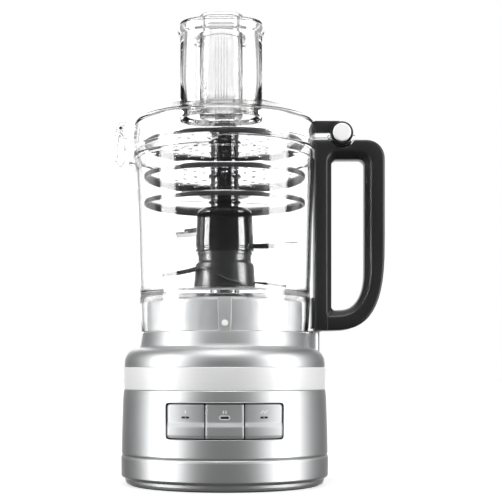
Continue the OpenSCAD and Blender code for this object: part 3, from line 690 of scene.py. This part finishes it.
def make_handle():
    lo, hi = HANDLE
    x0, x1, z0 = lo.x, hi.x, lo.z
    top, seat_r = 307.0, 12.9
    wide = hi.y
    steps, side = 14, 22
    outer = round_loop(x0, x1, z0, top, [(17, 17, 2.1), (1.2, 1.2, 2), (1.2, 1.2, 2),
                                         (x1 - 92, 85, 3.0)], steps, side)
    ridge = round_loop(90.9, 130.4, 149.4, 296.5, [(12, 12, 2), (9, 9, 2), (2, 2, 2),
                                                   (33, 46, 2.5)], steps, side)
    inner = round_loop(95.5, 125.2, 155.5, 290.4, [(5.5, 5.5, 2), (5, 5, 2), (3, 3, 2),
                                                   (24, 36, 2.4)], steps, side)
    # how far along each stretch a point is, and how far it lies inside the handle's full width
    flank = ((0.0, 3.0), (0.04, 1.1), (0.10, 0.3), (0.2, 0), (0.93, 0), (1.0, 0.3))
    slope = ((0.25, 2.2), (0.6, 4.6), (0.88, 6.6), (1.0, 8.4))
    rings = []
    for (ox, oz), r, i in zip(outer, map(Vector, ridge), map(Vector, inner)):
        # the hinge barrel's seat in the top of the handle
        dx = ox - HINGE.x
        if abs(dx) < seat_r and oz > 300:
            oz = min(oz, HINGE.z - sqrt(seat_r ** 2 - dx ** 2))
        section = []
        for a, b, shares in ((Vector((ox, oz)), r, flank), (r, i, slope)):
            for share, sunk in shares:
                p = a.lerp(b, share)
                section.append((p.x, wide - sunk, p.y))
        rings.append(section + [(x, -y, z) for x, y, z in reversed(section)])
    grip = loft("grip", rings, BLACK_SATIN, "bowl", loop=True, crease=55)
    bore = merged_cylinders([(ROD_X, 0, 1.8)], 130, 312, 24)
    cut(grip, bore, foot_pocket(ROD_X + 2, BLACK_SATIN), crease=55)
    stands_for(grip, "handle")
    lathe("handle_knuckle", fillet([(PIN_R, -KNUCKLE_HW), (BARREL_R, -KNUCKLE_HW, 0.5),
                                     (BARREL_R, KNUCKLE_HW, 0.5), (PIN_R, KNUCKLE_HW)]),
          BLACK_SATIN, "bowl", 72, axis=HINGE)
    prism("knuckle_web", rectangle(HINGE.x - 8.9, HINGE.x + 8.9, 297, HINGE.z - PIN_R, 0.5),
          -KNUCKLE_HW, KNUCKLE_HW, BLACK_SATIN, "bowl", "xz", bevel=0.5)
    prism("spine_seam", rectangle(90.3, 91.5, z0 + 0.6, 152, 0.5), -wide - 0.25, -wide + 2,
          BLACK_SATIN, "bowl", "xz", bevel=0.4)


def make_hinge():
    lo, hi = corners("hinge_pin")
    for side, end in FRONT_BACK:
        inner, outer = side * (hi.y - 3.4), side * hi.y
        cap = lathe("pin_cap_" + end, fillet([
            (0, inner), (7.6, inner), (8, inner + side * 0.4), (8, outer - side * 0.9, 0.8),
            (7.2, outer - side * 0.1, 0.6), (0, outer)], 4), CHROME_PAINTED_REFLECTION, "bowl", 72, axis=HINGE)
        if side < 0:
            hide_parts("hinge_pin")
    shaft = lathe("pin_shaft", [(0, lo.y + 3), (PIN_R, lo.y + 3), (PIN_R, hi.y - 3), (0, hi.y - 3)], STEEL,
                  "bowl", 48, axis=HINGE)
    bore = PIN_R + 0.06
    for side, end in FRONT_BACK:
        a, b = sorted((side * KNUCKLE_GAP, side * 14.6))
        barrel = [(bore, a), (BARREL_R, a, 0.6), (BARREL_R, b, 0.6), (8.3, b, 0.3), (8.3, b - 0.8),
                  (bore, b - 0.8)]
        if side < 0:
            barrel = [(bore, a + 0.8), (8.3, a + 0.8), (8.3, a, 0.3), (BARREL_R, a, 0.6), (BARREL_R, b, 0.6),
                      (bore, b)]
        lathe("arm_barrel_" + end, fillet(barrel), BLACK_SATIN, "lid", 96, axis=HINGE)
    low, top = 312.7, 323.5
    arm = prism("hinge_arm", fillet([(78.2, low, 0.6), (HINGE.x - 11.2, low, 0.4),
                                     (HINGE.x - 11.2, top, 0.4), (80, top, 1.0), (77.6, top - 2, 1)]),
                -13, 13, BLACK_SATIN, "lid", "xz", bevel=0.9)
    stands_for(arm, "lid_hinge_arm")
    for side, end in FRONT_BACK:
        a, b = sorted((side * 6.4, side * 13))
        outline = fillet([(92, low), (HINGE.x - 6, low), (HINGE.x - 1, top - 1), (HINGE.x - 2, top, 1),
                          (92, top)])
        prism("arm_bridge_" + end, outline, a, b, BLACK_SATIN, "lid", "xz", bevel=0.4)


# ------------ lid

LID_TOP = 346.5
LID_R = 82.0
LID_SKIRT = 298.0
LID_WALL = 2.2
CHUTE_X, CHUTE_Y, CHUTE_HW, CHUTE_HD, CHUTE_CORNER = -3.0, -42.5, 35.4, 27.5, 24.0


def lid_dome(r):
    return LID_TOP - 0.0034 * r * r


def oval_loop(hw, hd, corner, z, steps=14, side=6):
    """A rounded rectangle round the chute's middle, at a height."""
    loop = round_loop(CHUTE_X - hw, CHUTE_X + hw, CHUTE_Y - hd, CHUTE_Y + hd,
                      [(corner, corner, 2.0)] * 4, steps, side)
    return [(x, y, z) for x, y in loop]


def chute_loop(grow, z):
    return oval_loop(CHUTE_HW + grow, CHUTE_HD + grow, max(CHUTE_CORNER + grow, 1), z)


def lower_skirt(x, y, z):
    """The skirt is longer on the latch side, with an S-shaped step across the front and back."""
    r, h = math.hypot(x, y), z - LID_SKIRT
    if r < 79 or h > 11:
        return x, y, z
    t = min(max((-2 - x / r * LID_R) / 12, 0), 1)
    step = 6.2 * t * t * (3 - 2 * t)
    return x, y, z - step * min(1 - (h - 3) / 8, 1)


def make_lid():
    z0 = LID_SKIRT
    wall = fillet([(LID_R - 2.2, z0), (LID_R, z0, 0.9), (LID_R, z0 + 5.4, 0.3), (LID_R, z0 + 5.6),
                   (LID_R - 0.25, z0 + 6.2, 0.3), (LID_R - 0.4, z0 + 18)], 4)
    radii = (70, 62, 54, 46, 38, 30, 22, 15, 8, 0)
    wall += arc(LID_R - 7.4, 319.2, 6.9, 4, 78, 12)
    wall += [(r, lid_dome(r)) for r in radii]
    wall += [(r, lid_dome(r) - LID_WALL) for r in reversed(radii)]
    wall += arc(LID_R - 7.6, 318.2, 5.2, 76, 2, 10)
    dome = lathe("lid_dome", wall, CLEAR, "lid", turns=288, crease=40, warp=lower_skirt)
    plug = loft("chute_cut", [chute_loop(-1.2, 300), chute_loop(-1.2, 360)], CLEAR, None)
    cut(dome, plug, crease=40)
    stands_for(dome, "lid")

    top, low = corners("feed_chute")[1].z, 318.0
    stations = [(-0.2, low), (0, low + 0.3), (0, 350), (0, top - 8.2), (0.3, top - 7.6),
                (1.3, top - 7.1), (1.9, top - 5.8), (2.0, top - 3.8), (1.8, top - 1.8), (1.2, top - 0.6),
                (0.2, top), (-1.4, top), (-2.2, top - 0.6), (-2.4, top - 2), (-2.4, 350),
                (-2.4, low + 0.3), (-2.2, low)]
    chute = loft("feed_chute", [chute_loop(g, z) for g, z in stations], CLEAR, "lid", caps=False,
                 loop=True, crease=40)
    stands_for(chute, "feed_chute")

    lathe("stem_socket", fillet([(12.4, 326, 0.4), (14.4, 326, 0.4), (14.4, lid_dome(14) - 2.3),
                                 (12.4, lid_dome(12) - 2.3)]), CLEAR, "lid", 96)
    prism("lid_tongue", rectangle(79, HINGE.x - 10.2, 307.7, 312.5, 0.8), -13.6, 13.6, CLEAR,
          "lid", "xz", bevel=0.6)
    for side, end in FRONT_BACK:
        a, b = sorted((side * KNUCKLE_GAP, side * 14.4))
        outline = arc(HINGE.x, HINGE.z, 12.3, 190, 350, 28) + arc(HINGE.x, HINGE.z, 10.5, 350, 190, 28)
        prism("hinge_cradle_" + end, outline, a, b, CLEAR, "lid", "xz", bevel=0.3, crease=50)
        a, b = sorted((side * 8, side * 11))
        outline = fillet([
            (-80, 309, 1), (-86, 309, 2), (LATCH.x - 2, LATCH.z - 4, 2), (LATCH.x - 4, LATCH.z, 3),
            (LATCH.x - 2, LATCH.z + 4.4, 3), (-86, 322.4, 2), (-79, 322.4, 1)])
        prism("latch_ear_" + end, outline, a, b, CLEAR, "lid", "xz", bevel=0.5)


def make_latch():
    x0 = corners("lid_latch")[0].x
    right = smooth_line([(-90.6, 321.2), (-90.2, 312), (-89.6, 302), (-89.9, 295), (-91.2, 289.5),
                         (-93.6, 286.2), (-96.2, 288.2)], 5)
    left = smooth_line([(x0 + 0.2, 290.2), (x0 + 1.4, 286.4), (-93.8, 283.6), (-90.2, 286.2),
                        (-87.8, 293), (-87.0, 302), (-87.6, 312), (-88.2, 321.2)], 5)
    blade = prism("latch_blade", right + left, -7.4, 7.4, CLEAR_TINT, "latch", "xz", bevel=0.5, crease=45)
    stands_for(blade, "lid_latch")
    prism("latch_grip", fillet([(-90.7, 320.8, 1), (x0 + 1.8, 320.8, 2.5), (x0, 312, 4),
                                (x0, 300, 3), (x0 + 1.2, 292, 1), (x0 + 2.6, 292.6, 1),
                                (x0 + 2.4, 303, 4), (x0 + 3.4, 312, 4), (-90.9, 313, 1)]),
          -7.4, 7.4, CLEAR_TINT, "latch", "xz", bevel=0.5, crease=45)


# ------------ pushers

def small_loop(grow, z):
    return oval_loop(16 + grow, 12 + grow, 9 + grow, z, 10, 5)


def make_pushers():
    z0, z1 = heights("large_pusher")
    # how far the cup stands inside the chute's outline
    gap = 3
    stations = [(-0.4, z0), (-0.1, z0 + 0.2), (0, z0 + 0.6), (0, z1 - 4), (0, z1 - 2.2), (3.3, z1 - 2.0),
                (3.5, z1 - 1.2), (3.0, z1 - 0.1), (-1.8, z1), (-2.4, z1 - 0.6), (-2.4, z1 - 3),
                (-2.2, z1 - 8), (-2.2, z0 + 2.6), (-2.5, z0 + 2.2)]
    cup = loft("pusher_cup", [chute_loop(g - gap, z) for g, z in stations], CLEAR, "large_pusher",
               crease=40, caps=False)
    stands_for(cup, "large_pusher")
    top = z1 - 8
    well = [(0.5, z0), (2.2, z0), (2.6, z0 + 0.5), (2.6, top - 1), (2.2, top), (0.9, top), (0.5, top - 0.5)]
    loft("pusher_tube", [small_loop(g, z) for g, z in well], CLEAR, "large_pusher", loop=True, crease=40)
    # flat webs that stiffen the cup, and the round collar that guides the plunger
    for k, (side, depth) in enumerate((s, d) for s in (-1, 1) for d in (-15.5, -8, 8)):
        x0, x1 = sorted((CHUTE_X + side * 20.6, CHUTE_X + side * 26.2))
        prism(f"pusher_web_{k}", rectangle(x0, x1, CHUTE_Y + depth - 0.5, CHUTE_Y + depth + 0.5, 0.2),
              z0 + 3, top - 6, CLEAR, "large_pusher")
    collar = lathe("pusher_collar", fillet([
        (19.4, top - 5, 0.3), (21.2, top - 5, 0.4), (21.4, top - 0.6, 0.4), (19.4, top - 0.2, 0.4)]),
        CLEAR, "large_pusher", 96)
    collar.data.transform(Matrix.Translation(Vector((CHUTE_X, CHUTE_Y, 0)) * MM))

    z0, z1 = heights("small_pusher")
    body = [(-0.5, z0), (-0.1, z0 + 0.2), (0, z0 + 0.6), (0, z1 - 4.4), (2.4, z1 - 4.0), (2.8, z1 - 3.2),
            (2.6, z1 - 1.8), (1.4, z1 - 0.8), (-2, z1 - 0.3), (-8, z1)]
    plunger = loft("plunger", [small_loop(g, z) for g, z in body], CLEAR, "small_pusher", crease=40)
    cut(plunger, loft("plunger_hollow", [small_loop(-2, z0 + 2.2), small_loop(-2, z1 - 6)], CLEAR, None),
        crease=40)
    stands_for(plunger, "small_pusher")
    for k in range(5):
        x = CHUTE_X + 2.4 * (k - 2)
        prism(f"plunger_rib_{k}", rectangle(x - 0.5, x + 0.5, CHUTE_Y - 9.8, CHUTE_Y + 9.8, 0.2),
              z0 + 2.3, z1 - 22, CLEAR, "small_pusher", bevel=0.2)


# ------------ tools

# holes in the tools' hubs for the drive adapter, and in the discs for their stem
HUB_BORE = 15.5
DISC_BORE = 8.8

def make_tools():
    z0, z1 = heights("dough_blade")
    hub = lathe("dough_hub", fillet([
        (HUB_BORE, z0), (27.8, z0, 0.6), (27.2, z0 + 12, 8), (26.5, z0 + 23, 5), (26.1, z0 + 26.4, 1.6),
        (24.0, z0 + 28.4, 0.8), (23.8, z0 + 29, 0.4), (23.8, z1 - 3.2, 0.3), (24.6, z1 - 3.0, 0.3),
        (24.8, z1 - 0.6, 0.5), (HUB_BORE, z1 - 0.2)]), SATIN_HUB, "tool_stack", 144)
    stands_for(hub, "dough_blade")
    make_dough_arms(z0)

    z0, z1 = heights("chopping_hub")
    hub = lathe("chopper_hub", fillet([
        (HUB_BORE, z0), (26.2, z0, 0.6), (26.5, z0 + 1.8, 0.6), (25.4, z0 + 2.4, 0.4), (25.4, z0 + 3.4, 0.4),
        (26.2, z0 + 4, 0.5), (26.0, z0 + 14, 8), (25.4, z0 + 24, 8), (24.8, z0 + 35.4, 4),
        (20.4, z1 - 0.4, 1.5), (HUB_BORE, z1)]), BLACK_GLOSS, "tool_stack", 144)
    stands_for(hub, "chopping_hub")
    make_blades()

    lo, hi = corners("drive_adapter")
    core = lathe("adapter_core", fillet([(12.2, lo.z), (15.4, lo.z), (15.4, hi.z, 1), (8.6, hi.z),
                                         (8.6, 216), (12.2, 191)]), BLACK_GLOSS, "tool_stack", 96)
    stands_for(core, "drive_adapter")

    lo, hi = corners("disc_stem")
    parts = [(0, lo.z), (8.6, lo.z), (8.6, 252), (8.6, 323.6, 0.4), (9.6, 324.2, 0.4), (9.6, 327.4, 0.4),
             (6, 328, 0.6), (5.4, 334, 0.6), (9.2, 334.8, 0.4), (9.2, hi.z - 0.4, 0.5), (0, hi.z)]
    stem = lathe("tool_stem", fillet(parts), BLACK_SATIN, "tool_stack", 96)
    stands_for(stem, "disc_stem")
    for k in range(6):
        rib = prism(f"stem_rib_{k}", rectangle(8.2, 10.4, -0.9, 0.9, 0.4), 309, 323, BLACK_SATIN,
                    "tool_stack", bevel=0.3)
        turned(rib, TURN * k / 6)
    for name in ("top", "mid", "low"):
        make_disc(name)


def make_dough_arms(z0):
    """Two swept arms: each climbs the hub as a fin and reaches out from it as a flat bar."""
    route = ((188, 56, 16.2, 1.2), (189, 50, 17.0, 2.0), (191, 42, 18.2, 3.0), (196, 34, 19.8, 3.6),
             (206, 29, 21.2, 3.4), (220, 28, 22.0, 3.2), (235, 28, 20.8, 3.0), (250, 28.1, 17.8, 2.8),
             (270, 28.2, 12.8, 2.6), (290, 28.3, 7.4, 2.4), (308, 28.4, 3.2, 2.0), (320, 28.4, 1.8, 1.4))
    path = smooth_line([(r * cos(radians(a)), r * sin(radians(a)), h) for a, r, h, _ in route], 5)
    widths = [v[0] for v in smooth_line([(w, 0.0) for _, _, _, w in route], 5)]
    for k, (turn, sink) in enumerate(((0, 0), (180, 13))):
        rings = []
        for i, point in enumerate(path):
            here = Vector(point)
            ahead = Vector(path[min(i + 1, len(path) - 1)]) - Vector(path[max(i - 1, 0)])
            side = Vector((ahead.y, -ahead.x, 0)).normalized()
            here.z = max(here.z - sink, 1.5)
            ring = []
            for c in range(12):
                a = TURN * c / 12
                p = here + side * (widths[i] * cos(a)) + Vector((0, 0, 1.8 * sin(a) + 0.4 * cos(a)))
                ring.append((p.x, p.y, p.z + z0))
            rings.append([tuple(Matrix.Rotation(radians(turn), 4, "Z") @ Vector(p)) for p in ring])
        loft(f"dough_arm_{k}", rings, SATIN_HUB, "tool_stack", crease=50)


def make_blades():
    for k, (z, turn, rise, front) in enumerate(((210.9, 0, 0.9, 2.2), (228.6, 142, -0.4, -2.2))):
        outer = arc(32, 42, 52, -98, -48, 24)
        inner = arc(32, 52, 50, -98, -56, 24)
        rings = []
        for o, i in zip(map(Vector, outer), map(Vector, inner)):
            edge = o.lerp(i, 0.22)
            low = z + rise * max(0, (o.x - 26) / 40) * 4
            rings.append([(*o, low + front + 0.1), (*edge, low + front * 0.8 + 1.6), (*i, low + 1.6),
                          (*i, low), (*edge, low + front * 0.8), (*o, low + front)])
        blade = turned(loft(f"chopping_blade_{k}", rings, STEEL, "tool_stack", crease=25), radians(turn))
        root = prism(f"blade_root_{k}", fillet([(20, -15, 1), (34, -13.5, 2), (45, -11, 2), (47, 2, 2),
                                                (34, 4, 3), (20, 8, 1)]), z - 0.9, z + 3.2, BLACK_GLOSS,
                     "tool_stack", bevel=0.6)
        turned(root, radians(turn))
        if k == 0:
            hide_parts("chopping_blades")


def make_disc(name):
    hi = corners("disc_plate_" + name)[1]
    radius, z1 = hi.x + 0.7, hi.z
    rim = lathe(f"disc_rim_{name}_ring", fillet([
        (radius - 2.4, z1 - 4.5, 0.5), (radius - 0.4, z1 - 4.5, 0.5), (radius, z1 - 3.8, 0.5),
        (radius, z1 - 1.4, 0.3), (radius - 0.7, z1 - 1.0), (radius - 2.4, z1 - 1.0)]), RIM_BLACK,
        "tool_stack", 200)
    stands_for(rim, "disc_rim_" + name)
    drop = {"top": 27.2, "mid": 21.8, "low": 12.0}[name]
    profile = [(DISC_BORE, z1 - drop), (12.0, z1 - drop, 0.4), (12.2, z1 - drop + 3, 1),
               (13.6, z1 - drop + 5, 1), (13.4, z1 - 12.6, 1.2), (12.4, z1 - 11, 0.8),
               (12.8, z1 - 9, 0.6), (13.6, z1 - 8, 0.8), (12.6, z1 - 6.8, 0.6), (12.4, z1 - 3, 0.6),
               (14.4, z1 - 1.9, 0.6), (14.8, z1 - 1, 0.2), (DISC_BORE, z1 - 1)]
    if name == "low":
        del profile[2:5]
    lathe(f"disc_hub_{name}", fillet(profile), BLACK_GLOSS, "tool_stack", 96)
    lathe(f"disc_cap_{name}", fillet([(DISC_BORE, z1), (17, z1, 0.2), (16, z1 + 1.2, 0.5),
                                      (12, z1 + 1.8, 0.8), (DISC_BORE, z1 + 1.8)]), RIM_BLACK,
          "tool_stack", 96)
    plate_outline = [(DISC_BORE, z1 - 1), (radius - 0.9, z1 - 1, 0.2), (radius - 0.6, z1 - 0.5, 0.3),
                     (radius - 1.0, z1, 0.3), (DISC_BORE, z1)]
    plate = lathe(f"disc_plate_{name}_sheet", fillet(plate_outline), PLATE, "tool_stack", 200)
    if name == "low":
        make_slicers(plate, z1)
    else:
        first, gap, rows, size = (24, 9, 5, 1.9) if name == "top" else (26, 11, 4, 2.8)
        holes = []
        for row in range(rows):
            count = 10 + 4 * row if name == "top" else 8 + 4 * row
            holes += [(first + gap * row, TURN * (k + 0.5 * (row % 2)) / count) for k in range(count)]
        cut(plate, merged_cylinders([(r * cos(a), r * sin(a), size) for r, a in holes], z1 - 3, z1 + 2))
        make_teeth(name, holes, size, z1)
    stands_for(plate, "disc_plate_" + name)


def make_slicers(plate, z):
    """Two slots in a disc's plate, each with a knife along it."""
    for k in range(2):
        a = pi * k + 0.25
        slot = prism("slot", rectangle(20, 66, -2.4, 2.4, 1), z - 3, z + 2, PLATE, None)
        cut(plate, turned(slot, a))
        knife = prism(f"slicer_{k}", rectangle(20, 66, 1.2, 7.5, 0.5), z + 0.7, z + 1.5, STEEL,
                      "tool_stack", bevel=0.3)
        turned(knife, a)


def merged_cylinders(spots, z0, z1, sides=12):
    """Many upright cylinders as one mesh, to cut all the holes at once."""
    verts, faces = [], []
    for x, y, r in spots:
        faces += skin(2, sides, len(verts))
        verts += [(x + r * cos(TURN * k / sides), y + r * sin(TURN * k / sides), z)
                  for z in (z0, z1) for k in range(sides)]
    return build("holes", verts, faces, PLATE, None)


def make_teeth(name, spots, size, z):
    """A raised lip on one side of each hole of a shredding disc."""
    verts, faces = [], []
    steps = 6
    for r, a in spots:
        out, along = Vector((cos(a), sin(a), 0)), Vector((-sin(a), cos(a), 0))
        faces += skin(steps + 1, 4, len(verts))
        for i in range(steps + 1):
            t = radians(-80 + 160 * i / steps)
            rim = out * (r + size * sin(t)) + along * (size * cos(t))
            tip = out * (r + 0.9 * size * sin(t)) + along * (0.1 * size * cos(t))
            lift = 1.3 * cos(t) ** 0.8 if abs(t) < 1.39 else 0
            verts += [(rim.x, rim.y, z), (tip.x, tip.y, z + lift), (tip.x, tip.y, z + lift + 0.25),
                      (rim.x + along.x * 0.3, rim.y + along.y * 0.3, z + 0.05)]
    build(f"disc_teeth_{name}", verts, faces, STEEL, "tool_stack")


# ------------ stage

def area_light(name, azimuth, elevation, distance, width, height, power, receivers=None):
    """A soft light that hangs around the object and points at its middle."""
    target = (0, 0, 0.24)
    data = bpy.data.lights.new(name, "AREA")
    data.shape = "RECTANGLE"
    data.size, data.size_y = width, height
    data.energy = power
    light = bpy.data.objects.new(name, data)
    bpy.context.scene.collection.objects.link(light)
    a, e = radians(azimuth), radians(elevation)
    light.location = Vector(target) + Vector((sin(a) * cos(e), -cos(a) * cos(e), sin(e))) * distance
    light.rotation_euler = (Vector(target) - light.location).to_track_quat("-Z", "Y").to_euler()
    light.visible_camera = False
    if receivers:
        light.light_linking.receiver_collection = receivers


def make_paper():
    """White paper that glows a little, and keeps a faint contact shadow."""
    mat = node_material("floor_paper", (0.5, 0.5, 0.5), roughness=0.8, variation=0.01, grain=0.1)
    graph = Graph(mat)
    coords = graph.add("TexCoord").outputs["Object"]
    reach = graph.add("VectorMath", {0: coords}, operation="LENGTH").outputs["Value"]
    glow = graph.add("MapRange", {"From Min": 0.1, "From Max": 0.19, "To Min": 0.72, "To Max": 1.0,
                                  "Value": reach})
    graph.feed(mat.node_tree.nodes["Principled BSDF"],
               {"Emission Color": (1, 1, 1, 1), "Emission Strength": glow.outputs[0]})
    return mat


BACK_EDGE = 0.12


def make_world():
    """A white backdrop behind the object, and a dim studio round the rest of it."""
    world = bpy.data.worlds.new("studio")
    bpy.context.scene.world = world
    graph = Graph(world)
    world.node_tree.nodes.clear()
    split = graph.add("SeparateXYZ", {0: graph.add("TexCoord").outputs["Generated"]}).outputs

    def ramp(value, stops):
        node = graph.add("ValToRGB", {0: value})
        marks = node.color_ramp.elements
        for mark, (place, level) in zip(marks, (stops[0], stops[-1])):
            mark.position, mark.color = place, (level, level, level, 1)
        for place, level in stops[1:-1]:
            marks.new(place).color = (level, level, level, 1)
        return node.outputs["Color"]

    def mix(a, b, share):
        return graph.add("Mix", {"A": a, "B": b, "Factor": share}, data_type="RGBA").outputs["Result"]

    # 0 is straight behind the object and 1 is the camera's side
    angle = graph.math("ARCTAN2", graph.math("ABSOLUTE", split["X"]), split["Y"])
    turn = graph.math("DIVIDE", angle, pi)
    # 0 is straight down and 1 is straight up
    height = graph.math("ADD", graph.math("MULTIPLY", split["Z"], 0.5), 0.5)
    studio = ramp(turn, [(0.0, 0.12), (0.3, 0.1), (0.6, 0.1), (0.8, 0.16), (1.0, 0.16)])
    across = ramp(turn, [(0.0, 1), (BACK_EDGE, 1), (BACK_EDGE + 0.045, 0), (1, 0)])
    upward = ramp(height, [(0.0, 0), (0.2, 0), (0.3, 1), (0.69, 1), (0.76, 0), (1, 0)])
    rays = graph.add("LightPath").outputs
    # rays that a clear wall bends away from the backdrop meet a lighter studio than the rest do
    bent = ramp(turn, [(0.0, 0.36), (0.5, 0.36), (0.66, 0.05), (1.0, 0.03)])
    studio = mix(studio, bent, rays["Is Transmission Ray"])
    studio = mix(studio, (1.6, 1.6, 1.6, 1), graph.math("MULTIPLY", across, upward))
    studio = mix(studio, (1, 1, 1, 1), rays["Is Camera Ray"])
    back = graph.add("Background", {"Color": studio})
    graph.add("OutputWorld", {0: back.outputs[0]})


# the photograph's width and height, which the camera's shift is counted in
IMAGE = 502
CAMERA_DISTANCE, CAMERA_HEIGHT = 1.08, 0.101


def make_lights():
    """Strips at the sides draw the clear parts' bright edges. Wider lights serve the solid parts alone."""
    clear = bpy.data.collections.new("clear_parts")
    solid = bpy.data.collections.new("solid_parts")
    for thing in bpy.data.objects:
        if thing.type == "MESH":
            is_clear = bool(thing.data.materials) and thing.data.materials[0] in (CLEAR, CLEAR_TINT)
            (clear if is_clear else solid).objects.link(thing)
            if is_clear:
                thing.visible_shadow = False
    for name, azimuth, width, power, parts in (
            ("softbox_left", -68, 0.72, 21, solid), ("softbox_right", 68, 0.72, 21, solid),
            ("strip_left", -76, 0.50, 24, clear), ("strip_right", 71, 0.58, 28, clear),
            ("side_left", -106, 0.36, 1.5, clear), ("side_right", 104, 0.36, 1.5, clear)):
        area_light(name, azimuth, 4, 1.25, width, 1.7, power, parts)
    area_light("overhead", 0, 66, 1.4, 1.0, 1.0, 12)
    area_light("back_top", 180, 44, 1.3, 1.2, 0.9, 9, solid)


def make_floor():
    floor = build("floor", [(-6000, -3000, 0), (6000, -3000, 0), (6000, 9000, 0), (-6000, 9000, 0)],
                  [[0, 1, 2, 3]], make_paper(), None)
    floor.location.z = -0.0002
    floor.visible_glossy = False
    floor.visible_transmission = False
    floor.visible_diffuse = False


def make_camera():
    data = bpy.data.cameras.new("camera")
    camera = bpy.data.objects.new("camera", data)
    bpy.context.scene.collection.objects.link(camera)
    camera.location = (0, -CAMERA_DISTANCE, CAMERA_HEIGHT)
    camera.rotation_euler = (pi / 2, 0, 0)
    data.lens = 86.06
    data.sensor_width = 36
    data.shift_x = 26.3 / IMAGE
    data.shift_y = 120.0 / IMAGE
    bpy.context.scene.camera = camera


def make_render_settings():
    """Enough bounces for light to pass through the bowl, lid, chute and both pushers."""
    scene = bpy.context.scene
    scene.view_settings.view_transform = "Standard"
    scene.cycles.max_bounces = 24
    scene.cycles.transmission_bounces = 24
    scene.cycles.glossy_bounces = 8
    scene.cycles.transparent_max_bounces = 16
    scene.cycles.caustics_refractive = True
    scene.cycles.use_denoising = True


make_base()
for number, key_name in enumerate(KEY_NAMES):
    make_key(number, key_name)
make_bowl()
make_handle()
make_hinge()
make_lid()
make_latch()
make_pushers()
make_tools()
make_world()
make_lights()
make_floor()
make_camera()
make_render_settings()
